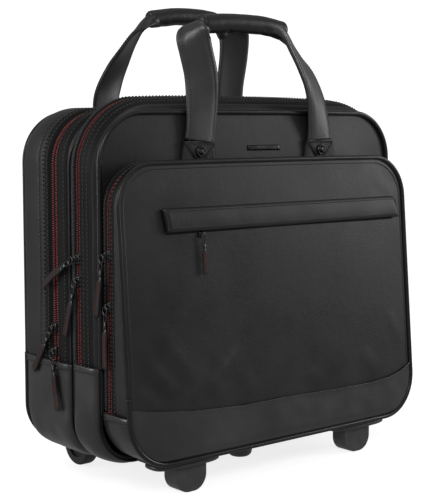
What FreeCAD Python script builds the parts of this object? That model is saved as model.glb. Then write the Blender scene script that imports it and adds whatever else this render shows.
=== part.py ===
import FreeCAD, Part
import math
import os
import re

import Sketcher

# Rolling laptop case: two zipped compartments, a front pocket, two carry handles and a pull-up trolley.
#
# Frame: millimetres, +Z up, the front pocket faces -Y, +X is to the right seen from the front. The origin
# is on the floor under the middle of the case. Y = 0 is the seam between the rear and the front
# compartment.
#
# Every opening part of the case is a shell that hangs inside a lower leather boot, so that it can lean
# forward about the fold line behind the front pocket without leaving the boot.

OUT = "parts"
os.makedirs(OUT, exist_ok=True)
doc = FreeCAD.newDocument("rolling_laptop_case")

# ---------------------------------------------------------------- driving dimensions
SIZES = {
    # overall
    "width": 430,              # over the boots
    "rear_plane": 92,          # seam to the back of the rear panel
    "front_plane": 46.5,       # seam to the face of the front panel
    "pocket_reach_top": 75,    # seam to the pocket face at its top
    "pocket_reach_base": 101,  # seam to the pocket face at its base
    # heights above the floor
    "body_base": 28,
    "boot_top": 131,
    "fold_top": 84,            # lower edge of the leaning panels
    "tuck_base": 103,          # lower edge of the gussets inside the boots
    "rear_top": 394,
    "front_top": 404,
    "pocket_base": 40,
    "pocket_boot_top": 90,
    "pocket_tuck_base": 75,
    "pocket_rim_base": 84,
    "pocket_top": 340,
    "piping_top": "=front_top - 12",
    # corners
    "lobe_radius": 55,
    "base_radius": 42,
    "pocket_radius": 42,
    "pocket_base_radius": 30,
    "piping_radius": 50,
    # walls and gaps
    "shell": 3,
    "tuck_gap": 0.8,
    "seam_gap": 0.4,
    "pocket_inset": 6,         # pocket boot narrower than the case, each side
    # zips
    "zip_rear": 30.3,          # seam to the rear zip, towards +Y
    "zip_middle": 14.5,        # seam to the middle zip, towards -Y
    "zip_front": 58.1,         # seam to the pocket zip, towards -Y
    "tape": 3.6,               # width of one tape
    "tape_thick": 1.6,
    "tape_gap": 0.3,           # between the two rows of teeth
    # piping and flap
    "piping_bead": 1.8,        # radius of the bead
    "piping_inset": 6,
    "flap_length": 338,
    "flap_middle": 17,
    "flap_base": 270,
    "flap_height": 24.5,
    "flap_thick": 3,
    # inside
    "board_thick": 3,
    "divider_thick": 3,
    "sleeve_width": 370,
    "sleeve_height": 250,
    "sleeve_thick": 5,
    # wheels
    "wheel_radius": 24,
    "wheel_width": 16,
    "wheel_place": 152,        # middle of a wheel in X
    "wheel_axis": "=rear_plane - 17.3",  # seam to the wheel axis
    "axle_radius": 3,
    "axle_gap": 0.05,
    "housing_width": 28,
    "housing_wall": 4.5,
    "housing_top": 55,
    "housing_front": "=rear_plane - 46",
    "wheel_room": 2.5,
    # feet
    "foot_place": 124,
    "foot_width": 40,
    "foot_depth": 20,
    "foot_front": 87,
    "foot_round": 17,
    "flange_length": 100,
    "flange_depth": 34,
    "flange_thick": 4,
    "bumper_radius": 18,
    "bumper_place": 21,
    "bumper_clear": 3,
    # trolley
    "tube_place": 70,
    "tube_axis": "=rear_plane - 16",
    "tube_outer_width": 24,
    "tube_outer_depth": 15,
    "tube_wall": 1.2,
    "tube_slip": 0.3,
    "tube_base": 35,
    "tube_step": 6,            # each stage starts this much higher
    "bezel_width": 184,
    "bezel_depth": 27,
    "bezel_base": 382,
    "bezel_top": 396,
    "bezel_floor": 3,
    "grip_width": 164,
    "grip_depth": 18,
    "grip_top": 400,
    "grip_slip": 1.5,
    "button_width": 34,
    "button_depth": 9,
    "button_travel": 3,
    "button_slip": 0.3,
    # carry handles
    "anchor": 88.4,            # middle of a strap foot in X
    "strap_width": 40,
    "strap_thick": 6,
    "strap_base": 361,
    "front_strap_off": 4.2,    # panel face to the back of the strap
    "rear_strap_off": 3.4,
    "plate_base": 341,
    "plate_thick": 3.5,
    "plate_flare": 5,
    "rivet_radius": 6,
    "rivet_place": 350,
    "rivet_height": 2.5,
    "handle_grip_radius": 9,
    "front_grip_length": 108,
    "front_grip_middle": -34,
    "front_grip_height": "=front_top + 81",
    "rear_grip_length": 96,
    "rear_grip_middle": 19,
    "rear_grip_height": "=rear_top + 109",
    # zip sliders and pullers
    "slider_length": 10,
    "slider_width": 7,
    "slider_thick": 3.2,
    "slider_off": 0.5,
    "link_length": 28,
    "link_width": 4,
    "tab_length": 36,
    "tab_width": 7.5,
    "puller_thick": 2.1,
    "puller_gap": 0.3,
}

sheet = doc.addObject("Spreadsheet::Sheet", "sizes")
for row, (alias, number) in enumerate(SIZES.items(), start=1):
    sheet.set("A%d" % row, alias)
    sheet.set("B%d" % row, str(number))
    sheet.setAlias("B%d" % row, alias)
doc.recompute()

WORD = re.compile(r"[a-z_]+")


def on_sheet(text):
    """An expression in plain aliases, with each alias sent to the sheet."""
    return WORD.sub(lambda m: "sizes." + m.group() if m.group() in SIZES else m.group(), text)


def value(text):
    """The number that an expression in aliases gives now."""
    return float(sheet.evalExpression(on_sheet(str(text))))


def bind(thing, prop, text):
    thing.setExpression(prop, on_sheet(str(text)))


subparts = []


def label(thing, name):
    """Name a finished sub-part: the name is its file's name."""
    thing.Label = name
    subparts.append(thing)
    return thing


# ---------------------------------------------------------------- sketch helpers
def new_body(name):
    body = doc.addObject("PartDesign::Body", name)
    body.AllowCompound = True
    return body


def add_sketch(body, role, offset="0"):
    """A sketch on one of the body's own planes, moved along the plane's normal."""
    plane = [f for f in body.Origin.OriginFeatures if f.Role == role][0]
    sketch = body.newObject("Sketcher::SketchObject", body.Name + "_sketch")
    sketch.AttachmentSupport = [(plane, "")]
    sketch.MapMode = "FlatFace"
    bind(sketch, "AttachmentOffset.Base.z", offset)
    return sketch


def fix_point(sketch, geo, end, u, v):
    """Hold one end of a line at two expressions."""
    for kind, text in (("DistanceX", u), ("DistanceY", v)):
        number = sketch.addConstraint(Sketcher.Constraint(kind, geo, end, value(text)))
        bind(sketch, "Constraints[%d]" % number, text)


def draw_loop(sketch, corners, closed=True):
    """Draw a polygon of (u, v) or (u, v, radius) corners, all given as expressions.

    A rounded corner joins two lines that lie along the axes. Corners run anticlockwise.
    """
    count = len(corners)
    spots = [FreeCAD.Vector(value(c[0]), value(c[1]), 0) for c in corners]

    def leave(i, j):
        """Where the line from corner i to corner j starts, as expressions and as a point."""
        u, v = corners[i][:2]
        if len(corners[i]) == 2:
            return (u, v), spots[i]
        radius = corners[i][2]
        step = spots[j] - spots[i]
        along_u = abs(step.x) > abs(step.y)
        sign = "+" if (step.x if along_u else step.y) > 0 else "-"
        shift = value(radius) * (1 if sign == "+" else -1)
        if along_u:
            return ("%s %s (%s)" % (u, sign, radius), v), spots[i] + FreeCAD.Vector(shift, 0, 0)
        return (u, "%s %s (%s)" % (v, sign, radius)), spots[i] + FreeCAD.Vector(0, shift, 0)

    sides = range(count if closed else count - 1)
    lines = []
    for i in sides:
        j = (i + 1) % count
        start, start_point = leave(i, j)
        stop, stop_point = leave(j, i)
        line = sketch.addGeometry(Part.LineSegment(start_point, stop_point), False)
        fix_point(sketch, line, 1, *start)
        if len(corners[j]) == 3 or (not closed and j == count - 1):
            fix_point(sketch, line, 2, *stop)
        lines.append(line)
    for i in (range(count) if closed else range(1, count - 1)):
        before, after = lines[i - 1], lines[i % len(lines)]
        if len(corners[i]) == 2:
            sketch.addConstraint(Sketcher.Constraint("Coincident", before, 2, after, 1))
            continue
        round_corner(sketch, before, after, spots[i], value(corners[i][2]))
    return lines


def round_corner(sketch, before, after, corner, radius):
    """Join the end of one line to the start of the next with a tangent arc."""
    a = sketch.Geometry[before].EndPoint
    b = sketch.Geometry[after].StartPoint
    centre = a + b - corner
    left_turn = (corner - a).cross(b - corner).z > 0
    first, last = (a, b) if left_turn else (b, a)
    begin = math.atan2(first.y - centre.y, first.x - centre.x)
    finish = math.atan2(last.y - centre.y, last.x - centre.x)
    if finish < begin:
        finish += 2 * math.pi
    circle = Part.Circle(centre, FreeCAD.Vector(0, 0, 1), radius)
    arc = sketch.addGeometry(Part.ArcOfCircle(circle, begin, finish), False)
    near, far = (1, 2) if left_turn else (2, 1)
    sketch.addConstraint(Sketcher.Constraint("Tangent", before, 2, arc, near))
    sketch.addConstraint(Sketcher.Constraint("Coincident", arc, far, after, 1))


def pad_xz(body, loops, front, back):
    """Pad loops drawn in X and Z from the plane Y = front to the plane Y = back."""
    sketch = add_sketch(body, "XZ_Plane", "-(%s)" % back)
    for loop in loops:
        draw_loop(sketch, loop)
    pad = body.newObject("PartDesign::Pad", body.Name + "_pad")
    pad.Profile = sketch
    bind(pad, "Length", "(%s) - (%s)" % (back, front))
    doc.recompute()
    return pad


def cut(body, role, loops, low, high):
    """Cut loops away between two heights along a plane's axis, and make sure that something went."""
    sign = "-" if role == "XZ_Plane" else ""
    near, far = (low, high) if role == "XZ_Plane" else (high, low)
    before = body.Shape.Volume
    sketch = add_sketch(body, role, "%s(%s)" % (sign, near))
    for loop in loops:
        draw_loop(sketch, loop)
    pocket = body.newObject("PartDesign::Pocket", body.Name + "_cut")
    pocket.Profile = sketch
    bind(pocket, "Length", "abs((%s) - (%s))" % (far, near))
    doc.recompute()
    assert body.Shape.Volume < before - 1, body.Name + ": a cut removed nothing"
    return pocket


# ---------------------------------------------------------------- outlines
def arch(half, top, base, radius, wall):
    """An upside-down U of one wall, open at the bottom."""
    inner = "(%s - %s)" % (half, wall)
    return [("-(%s)" % half, base), ("-%s" % inner, base),
            ("-%s" % inner, "%s - %s" % (top, wall), "%s - %s" % (radius, wall)),
            (inner, "%s - %s" % (top, wall), "%s - %s" % (radius, wall)),
            (inner, base), (half, base), (half, top, radius),
            ("-(%s)" % half, top, radius)]


def panel(half, base, top, radius_top, radius_base=None):
    """A closed panel outline with round corners."""
    low = (radius_base,) if radius_base else ()
    return [("-(%s)" % half, base) + low, (half, base) + low,
            (half, top, radius_top), ("-(%s)" % half, top, radius_top)]


def block(x0, x1, v0, v1):
    return [(x0, v0), (x1, v0), (x1, v1), (x0, v1)]


def rounded(x0, x1, v0, v1, radius):
    return [(x0, v0, radius), (x1, v0, radius), (x1, v1, radius), (x0, v1, radius)]


HALF = "width / 2"
TUCKED = "(width / 2 - shell - tuck_gap)"
POCKET_HALF = "(width / 2 - pocket_inset)"
POCKET_TUCKED = "(width / 2 - pocket_inset - shell - tuck_gap)"


# ---------------------------------------------------------------- shells of the two compartments
def gusset(name, half, top, base, radius, front, back, wall="shell"):
    """One strip of gusset: an arch over the case."""
    body = new_body(name)
    pad_xz(body, [arch(half, top, base, radius, wall)], front, back)
    return label(body, name)


def boot(name, half, base, top, radius, front, back, wall_top=None):
    """A leather boot: floor, two sides and a front wall, open at the top and the back.

    wall_top, where given, is where the front wall ends, lower than the sides.
    """
    body = new_body(name)
    pad_xz(body, [panel(half, base, top, "0.01", radius)[:2] + [(half, top), ("-(%s)" % half, top)]],
           front, back)
    inner = "(%s - shell)" % half
    hollow = [("-%s" % inner, "%s + shell" % base, "%s - shell" % radius),
              (inner, "%s + shell" % base, "%s - shell" % radius),
              (inner, "%s + 1" % top), ("-%s" % inner, "%s + 1" % top)]
    cut(body, "XZ_Plane", [hollow], "%s + shell" % front, back)
    if wall_top:
        cut(body, "XZ_Plane", [block("-%s" % inner, inner, wall_top, "%s + 1" % top)],
            "%s - 1" % front, "%s + shell + 1" % front)
    return label(body, name)


REAR_FRONT = "seam_gap / 2"
REAR_BACK = "(rear_plane - shell)"
rear_gusset = gusset("rear_gusset", HALF, "rear_top", "boot_top", "lobe_radius",
                     "zip_rear + tape_gap / 2 + tape", REAR_BACK)
cut(rear_gusset, "XY_Plane",
    [block("-bezel_width / 2 - seam_gap", "bezel_width / 2 + seam_gap",
           "tube_axis - bezel_depth / 2 - seam_gap", "rear_plane")], "bezel_base", "rear_top + 1")

rear_boot = boot("rear_boot", HALF, "body_base", "boot_top", "base_radius",
                 REAR_FRONT, REAR_BACK, "fold_top - seam_gap")
front_boot = boot("front_boot", HALF, "body_base", "boot_top", "base_radius",
                  "-front_plane", "-seam_gap / 2", "fold_top - seam_gap")

rear_panel = new_body("rear_panel")
pad_xz(rear_panel, [panel("width / 2 - 2", "body_base + 2", "rear_top - 2",
                          "lobe_radius - 2", "base_radius - 2")], REAR_BACK, "rear_plane")
label(rear_panel, "rear_panel")

# the boots and the rear panel leave room for the wheel housings
HOUSING_ROOM = [block("-wheel_place - housing_width / 2 - seam_gap",
                      "-wheel_place + housing_width / 2 + seam_gap", "body_base - 1",
                      "housing_top + seam_gap"),
                block("wheel_place - housing_width / 2 - seam_gap",
                      "wheel_place + housing_width / 2 + seam_gap", "body_base - 1",
                      "housing_top + seam_gap")]
cut(rear_boot, "XZ_Plane", HOUSING_ROOM, "housing_front - seam_gap", "rear_plane + 1")
cut(rear_panel, "XZ_Plane", HOUSING_ROOM, REAR_BACK, "rear_plane + 1")

gusset("mid_gusset", TUCKED, "rear_top - shell", "tuck_base", "lobe_radius - shell",
       "shell + seam_gap + tuck_gap", "zip_rear - tape_gap / 2 - tape")
gusset("mid_rim", TUCKED, "front_top", "tuck_base", "lobe_radius",
       "-(zip_middle - tape_gap / 2 - tape)", "-seam_gap")
gusset("front_gusset", TUCKED, "front_top", "tuck_base - 4", "lobe_radius",
       "-(front_plane - shell)", "-(zip_middle + tape_gap / 2 + tape)")

divider = new_body("divider_panel")
pad_xz(divider, [panel("%s - shell - seam_gap" % TUCKED, "fold_top", "rear_top - 2 * shell - 1",
                       "lobe_radius - 2 * shell")], "-seam_gap + 0.1", "divider_thick - seam_gap + 0.1")
label(divider, "divider_panel")

front_panel = new_body("front_panel")
pad_xz(front_panel, [panel(TUCKED, "fold_top", "front_top", "lobe_radius")],
       "-front_plane", "-(front_plane - shell)")
label(front_panel, "front_panel")

board = new_body("base_board")
pad_xz(board, [block("-(width / 2 - base_radius)", "width / 2 - base_radius", "body_base + shell",
                     "body_base + shell + board_thick")],
       "2 * shell", "rear_plane - 2 * shell")
cut(board, "XZ_Plane", [block(c[0][0], c[1][0], "body_base", "housing_top + seam_gap")
                        for c in HOUSING_ROOM], "housing_front - seam_gap", "rear_plane")
label(board, "base_board")

sleeve = new_body("laptop_sleeve")
SLEEVE_BASE = "(fold_top + 15)"
pad_xz(sleeve, [panel("sleeve_width / 2", SLEEVE_BASE, "%s + sleeve_height" % SLEEVE_BASE, "12", "12")],
       "divider_thick - seam_gap + 0.1", "divider_thick - seam_gap + 0.1 + sleeve_thick")
label(sleeve, "laptop_sleeve")


# ---------------------------------------------------------------- zips of the two compartments
def tapes(prefix, line, sign, top, base, radius, half, names):
    """The two tapes of a zip that runs up one side, over the top and down the other."""
    centre = "%s%s" % (sign, line)
    near = "(%s - tape_gap / 2)" % centre
    far = "(%s + tape_gap / 2)" % centre
    gusset(names[0], half, top, base, radius, "%s - tape" % near, near, "tape_thick")
    gusset(names[1], half, top, base, radius, far, "%s + tape" % far, "tape_thick")


tapes("rear", "zip_rear", "", "rear_top - shell", "boot_top", "lobe_radius - shell", TUCKED,
      ("rear_zip_tape_front", "rear_zip_tape_back"))
tapes("middle", "zip_middle", "-", "front_top", "boot_top", "lobe_radius", TUCKED,
      ("middle_zip_tape_front", "middle_zip_tape_back"))
tapes("front", "zip_front", "-", "pocket_top", "pocket_boot_top + 2", "pocket_radius", POCKET_TUCKED,
      ("front_zip_tape_front", "front_zip_tape_back"))


# ---------------------------------------------------------------- front pocket
LEAN = "atan((pocket_reach_base - pocket_reach_top) / (pocket_top - pocket_base))"
FACE_LOW = "(pocket_boot_top + seam_gap)"
HINGE_Y = ("(pocket_reach_base - (pocket_reach_base - pocket_reach_top) * (%s - pocket_base)"
           " / (pocket_top - pocket_base))" % FACE_LOW)
FACE_LENGTH = "((pocket_top - %s) / cos(%s))" % (FACE_LOW, LEAN)

gusset("pocket_rim", POCKET_TUCKED, "pocket_top", "pocket_rim_base", "pocket_radius",
       "-(zip_front - tape_gap / 2 - tape)", "-front_plane")

pocket_gusset = gusset("pocket_gusset", POCKET_TUCKED, "pocket_top", "pocket_tuck_base", "pocket_radius",
                       "-pocket_reach_base", "-(zip_front + tape_gap / 2 + tape)")
# its front edge follows the leaning face, one wall behind it
FACE_SLOPE = "((pocket_reach_base - pocket_reach_top) / (pocket_top - pocket_base))"
EDGE_AT = "-(pocket_reach_base - %s * (%s - pocket_base)) + shell / cos(%s)"
cut(pocket_gusset, "YZ_Plane",
    [[(EDGE_AT % (FACE_SLOPE, "pocket_tuck_base - 5", LEAN), "pocket_tuck_base - 5"),
      (EDGE_AT % (FACE_SLOPE, "pocket_top + 5", LEAN), "pocket_top + 5"),
      ("-pocket_reach_base - 5", "pocket_top + 5"),
      ("-pocket_reach_base - 5", "pocket_tuck_base - 5")]], "-width", "width")

boot("pocket_boot", POCKET_HALF, "pocket_base", "pocket_boot_top", "pocket_base_radius",
     "-pocket_reach_base", "-(front_plane + seam_gap)")


def lean_with_face(thing):
    """Stand a piece drawn flat on the fold line of the pocket face, leaning back with the face."""
    bind(thing, "Placement.Base.y", "-%s" % HINGE_Y)
    bind(thing, "Placement.Base.z", FACE_LOW)
    thing.Placement = FreeCAD.Placement(thing.Placement.Base,
                                        FreeCAD.Rotation(FreeCAD.Vector(-1, 0, 0), 1))
    bind(thing, "Placement.Rotation.Angle", "(%s)" % LEAN)


pocket_panel = new_body("pocket_panel")
pad_xz(pocket_panel, [panel(POCKET_TUCKED, "0", FACE_LENGTH, "pocket_radius")], "0", "shell")
lean_with_face(pocket_panel)
label(pocket_panel, "pocket_panel")

pocket_flap = new_body("pocket_flap")
FLAP_LOW = "((flap_base - %s) / cos(%s))" % (FACE_LOW, LEAN)
pad_xz(pocket_flap, [rounded("flap_middle - flap_length / 2", "flap_middle + flap_length / 2",
                             FLAP_LOW, "%s + flap_height" % FLAP_LOW, "4")],
       "-flap_thick", "0")
lean_with_face(pocket_flap)
label(pocket_flap, "pocket_flap")


def piping(name, half, base, top, radius, y_plane):
    """A round bead that follows the edge of a panel, up one side, over the top and down the other."""
    body = new_body(name)
    path = add_sketch(body, "XZ_Plane", "-(%s)" % y_plane)
    draw_loop(path, [("-(%s)" % half, base), ("-(%s)" % half, top, radius), (half, top, radius),
                     (half, base)], closed=False)
    ring = add_sketch(body, "XY_Plane", base)
    circle = Part.Circle(FreeCAD.Vector(-value(half), value(y_plane), 0), FreeCAD.Vector(0, 0, 1),
                         value("piping_bead"))
    index = ring.addGeometry(circle, False)
    fix_point(ring, index, 3, "-(%s)" % half, y_plane)
    number = ring.addConstraint(Sketcher.Constraint("Radius", index, value("piping_bead")))
    bind(ring, "Constraints[%d]" % number, "piping_bead")
    doc.recompute()
    pipe = body.newObject("PartDesign::AdditivePipe", name + "_pipe")
    pipe.Profile = ring
    pipe.Spine = path
    doc.recompute()
    return label(body, name)


piping("front_panel_piping", "width / 2 - piping_inset", "boot_top + 1", "piping_top", "piping_radius",
       "-(front_plane + piping_bead + 0.05)")
pocket_piping = piping("pocket_piping", "%s + 0.5" % POCKET_TUCKED, "20", "%s - 1" % FACE_LENGTH,
                       "pocket_radius", "-(piping_bead + 0.05)")
lean_with_face(pocket_piping)


# ---------------------------------------------------------------- primitive helpers
def box(name, x0, x1, y0, y1, z0, z1):
    thing = doc.addObject("Part::Box", name)
    for prop, low, high in (("Length", x0, x1), ("Width", y0, y1), ("Height", z0, z1)):
        bind(thing, prop, "(%s) - (%s)" % (high, low))
    for axis, low in (("x", x0), ("y", y0), ("z", z0)):
        bind(thing, "Placement.Base." + axis, low)
    return thing


AXES = {"X": FreeCAD.Rotation(FreeCAD.Vector(0, 1, 0), 90),
        "Y": FreeCAD.Rotation(FreeCAD.Vector(1, 0, 0), -90),
        "Z": FreeCAD.Rotation()}


def cylinder(name, axis, x, y, z, radius, length):
    """A cylinder that starts at a point and runs along an axis."""
    thing = doc.addObject("Part::Cylinder", name)
    thing.Placement = FreeCAD.Placement(FreeCAD.Vector(), AXES[axis])
    bind(thing, "Radius", radius)
    bind(thing, "Height", length)
    for letter, text in (("x", x), ("y", y), ("z", z)):
        bind(thing, "Placement.Base." + letter, text)
    return thing


def subtract(name, base, *tools):
    for number, tool in enumerate(tools):
        result = doc.addObject("Part::Cut", "%s_less_%d" % (name, number))
        result.Base = base
        result.Tool = tool
        base = result
    doc.recompute()
    return base


def unite(name, *things):
    result = doc.addObject("Part::MultiFuse", name + "_sum")
    result.Shapes = list(things)
    doc.recompute()
    return result


def group(name, *things):
    """Separate solids that share one node."""
    result = doc.addObject("Part::Compound", name + "_group")
    result.Links = list(things)
    doc.recompute()
    return result


def soften(name, base, radius, wanted):
    """Round the edges of a shape that pass a test."""
    doc.recompute()
    thing = doc.addObject("Part::Fillet", name + "_soft")
    thing.Base = base
    thing.Edges = [(number, radius, radius) for number, edge in enumerate(base.Shape.Edges, start=1)
                   if wanted(edge)]
    doc.recompute()
    return thing


def along(letter):
    """A test for straight edges along one axis."""
    index = "xyz".index(letter)

    def test(edge):
        if not isinstance(edge.Curve, Part.Line):
            return False
        step = edge.Vertexes[1].Point - edge.Vertexes[0].Point
        return abs(step[index]) > 0.999 * step.Length
    return test


# ---------------------------------------------------------------- wheels, housings and feet
def wheel(side, sign):
    name = "wheel_" + side
    start = "%swheel_place - wheel_width / 2" % sign
    tyre = cylinder(name + "_tyre", "X", start, "wheel_axis", "wheel_radius", "wheel_radius", "wheel_width")
    soft = soften(name, tyre, 3, lambda e: isinstance(e.Curve, Part.Circle))
    bore = cylinder(name + "_bore", "X", start + " - 1", "wheel_axis", "wheel_radius",
                    "axle_radius + axle_gap", "wheel_width + 2")
    dishes = [cylinder("%s_dish_%d" % (name, n), "X", x, "wheel_axis", "wheel_radius",
                       "wheel_radius * 0.62", "wheel_width * 0.2")
              for n, x in enumerate((start, "%swheel_place + wheel_width * 0.3" % sign))]
    hubs = [cylinder("%s_boss_%d" % (name, n), "X", x, "wheel_axis", "wheel_radius",
                     "axle_radius * 2", "wheel_width * 0.2")
            for n, x in enumerate((start, "%swheel_place + wheel_width * 0.3" % sign))]
    turned = subtract(name, soft, *dishes)
    label(subtract(name + "_bored", unite(name, turned, *hubs), bore), name)


def housing(side, sign):
    name = "wheel_housing_" + side
    middle = "%swheel_place" % sign
    shell_box = box(name + "_block", "%s - housing_width / 2" % middle, "%s + housing_width / 2" % middle,
                    "housing_front", "rear_plane + 4", "body_base - 8", "housing_top")
    soft = soften(name, shell_box, 7, lambda e: along("x")(e) and e.Vertexes[0].Z > value("body_base"))
    inside = "%s - housing_width / 2 + housing_wall" % middle
    room = cylinder(name + "_room", "X", inside, "wheel_axis", "wheel_radius",
                    "wheel_radius + wheel_room", "housing_width - 2 * housing_wall")
    mouth = box(name + "_mouth", inside, "%s + housing_width / 2 - housing_wall" % middle,
                "wheel_axis - wheel_radius - wheel_room", "rear_plane + 10",
                "body_base - 10", "wheel_radius")
    hole = cylinder(name + "_hole", "X", "%s - housing_width / 2 + 1" % middle, "wheel_axis", "wheel_radius",
                    "axle_radius", "housing_width - 2")
    label(subtract(name, soft, room, mouth, hole), name)


def foot(side, sign):
    name = "front_foot_" + side
    middle = "%sfoot_place" % sign
    post = box(name + "_post", "%s - foot_width / 2" % middle, "%s + foot_width / 2" % middle,
               "-foot_front", "-foot_front + foot_depth", "0", "pocket_base - flange_thick")
    rounded_post = soften(name, post, value("foot_round"),
                          lambda e: along("y")(e) and e.Vertexes[0].Z < 1)
    plate = box(name + "_plate", "%s - flange_length / 2" % middle, "%s + flange_length / 2" % middle,
                "-foot_front - 2", "-foot_front - 2 + flange_depth", "pocket_base - flange_thick",
                "pocket_base")
    soft_plate = soften(name + "_plate", plate, 8, along("z"))
    label(unite(name, rounded_post, soft_plate), name)


axles = []
for side, sign in (("left", "-"), ("right", "")):
    wheel(side, sign)
    housing(side, sign)
    foot(side, sign)
    axles.append(cylinder("axle_" + side, "X", "%swheel_place - housing_width / 2 + 1" % sign,
                          "wheel_axis", "wheel_radius", "axle_radius", "housing_width - 2"))
label(group("wheel_axles", *axles), "wheel_axles")

bumper = doc.addObject("Part::Cone", "bumper_cone")
bind(bumper, "Radius1", "bumper_radius * 0.7")
bind(bumper, "Radius2", "bumper_radius")
bind(bumper, "Height", "body_base - bumper_clear")
bind(bumper, "Placement.Base.y", "-bumper_place")
bind(bumper, "Placement.Base.z", "bumper_clear")
label(soften("bumper", bumper, 6, lambda e: isinstance(e.Curve, Part.Circle)
             and e.Vertexes[0].Z < value("bumper_clear") + 1), "centre_foot")


# ---------------------------------------------------------------- trolley
def tube(name, shrink, base, top):
    """A pair of rectangular tubes, each side smaller than the guide tube by a number of steps."""
    pair = []
    for side, sign in (("left", "-"), ("right", "")):
        less = "%s * (tube_wall + tube_slip)" % shrink
        half_x = "(tube_outer_width / 2 - %s)" % less
        half_y = "(tube_outer_depth / 2 - %s)" % less
        middle = "%stube_place" % sign
        outer = box("%s_%s" % (name, side), "%s - %s" % (middle, half_x), "%s + %s" % (middle, half_x),
                    "tube_axis - %s" % half_y, "tube_axis + %s" % half_y, base, top)
        inner = box("%s_%s_bore" % (name, side), "%s - %s + tube_wall" % (middle, half_x),
                    "%s + %s - tube_wall" % (middle, half_x), "tube_axis - %s + tube_wall" % half_y,
                    "tube_axis + %s - tube_wall" % half_y, "%s - 1" % base, "%s + 1" % top)
        pair.append(subtract("%s_%s_cut" % (name, side), outer, inner))
    return label(group(name, *pair), name)


BEZEL_IN = "(bezel_base + bezel_floor)"
tube("trolley_guide_tubes", 0, "tube_base", BEZEL_IN)
tube("trolley_stage_one", 1, "tube_base + tube_step", "%s + 0.5" % BEZEL_IN)
tube("trolley_stage_two", 2, "tube_base + 2 * tube_step", "%s + 1" % BEZEL_IN)

bezel = new_body("trolley_bezel")
sketch = add_sketch(bezel, "XY_Plane", "bezel_base")
draw_loop(sketch, rounded("-bezel_width / 2", "bezel_width / 2", "tube_axis - bezel_depth / 2",
                          "min(tube_axis + bezel_depth / 2; rear_plane - shell - seam_gap / 2)", "5"))
bezel_pad = bezel.newObject("PartDesign::Pad", "bezel_pad")
bezel_pad.Profile = sketch
bind(bezel_pad, "Length", "bezel_top - bezel_base")
doc.recompute()
cut(bezel, "XY_Plane", [rounded("-grip_width / 2 - grip_slip", "grip_width / 2 + grip_slip",
                                "tube_axis - grip_depth / 2 - grip_slip",
                                "tube_axis + grip_depth / 2 + grip_slip", "4")], BEZEL_IN, "bezel_top + 1")
cut(bezel, "XY_Plane",
    [block("%stube_place - tube_outer_width / 2 - tube_slip" % s,
           "%stube_place + tube_outer_width / 2 + tube_slip" % s,
           "tube_axis - tube_outer_depth / 2 - tube_slip",
           "tube_axis + tube_outer_depth / 2 + tube_slip") for s in ("-", "")],
    "bezel_base - 1", "%s + 1" % BEZEL_IN)
label(bezel, "trolley_bezel")

grip_block = box("grip_block", "-grip_width / 2", "grip_width / 2", "tube_axis - grip_depth / 2",
                 "tube_axis + grip_depth / 2", "%s + 1" % BEZEL_IN, "grip_top")
grip_soft = soften("grip", grip_block, 4, lambda e: e.BoundBox.ZMin > value(BEZEL_IN) + 2)
button_pit = box("button_pit", "-button_width / 2 - button_slip", "button_width / 2 + button_slip",
                 "tube_axis - button_depth / 2 - button_slip", "tube_axis + button_depth / 2 + button_slip",
                 "grip_top - 2 * button_travel - 2", "grip_top + 2")
label(subtract("grip", grip_soft, button_pit), "trolley_grip")

button = box("button_block", "-button_width / 2", "button_width / 2", "tube_axis - button_depth / 2",
             "tube_axis + button_depth / 2", "grip_top - button_travel - 1.5", "grip_top + 1.5")
label(soften("button", button, 1, lambda e: e.BoundBox.ZMin > value("grip_top") + 1), "trolley_button")


# ---------------------------------------------------------------- carry handles
def handle(name, back, toward, off, middle, length, height):
    """Two straps and a rolled grip in one upright plane; the grip sits off the middle, as it has slumped.

    back is the face of the panel that the handle hangs on, and toward is the side that it stands out on.
    """
    near = "(%s %s %s)" % (back, toward, off)
    far = "(%s %s (%s + strap_thick))" % (back, toward, off)
    low, high = (far, near) if toward == "-" else (near, far)
    left_end = "(%s - %s / 2)" % (middle, length)
    right_end = "(%s + %s / 2)" % (middle, length)
    shoulder = "(%s - 4 * handle_grip_radius)" % height
    under = "(%s - handle_grip_radius * 0.8)" % height
    over = "(%s + handle_grip_radius * 0.8)" % height
    narrow = "handle_grip_radius * 0.5"
    body = new_body(name + "_straps")
    loops = []
    for sign, end in (("-", left_end), ("", right_end)):
        foot_out = "%sanchor %s strap_width / 2" % (sign, "-" if sign else "+")
        foot_in = "%sanchor %s strap_width / 2" % (sign, "+" if sign else "-")
        bend = "(%sanchor + %s) / 2" % (sign, end)
        outward, inward = ("-", "+") if sign else ("+", "-")
        loop = [(foot_in, "strap_base"),
                ("%s %s strap_width * 0.42" % (bend, inward), shoulder),
                (end, under), (end, over),
                ("%s %s %s" % (end, outward, narrow), over),
                ("%s %s strap_width * 0.46" % (bend, outward), "%s + handle_grip_radius" % shoulder),
                (foot_out, "strap_base")]
        loops.append(loop if not sign else loop[::-1])
    pad_xz(body, loops, low, high)
    label(body, name + "_straps")
    axis = "(%s + %s) / 2" % (near, far)
    grip = cylinder(name + "_grip_bar", "X", left_end + " + 0.2", axis, height, "handle_grip_radius",
                    length + " - 0.4")
    label(soften(name + "_grip", grip, 3, lambda e: isinstance(e.Curve, Part.Circle)), name + "_grip")


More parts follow.
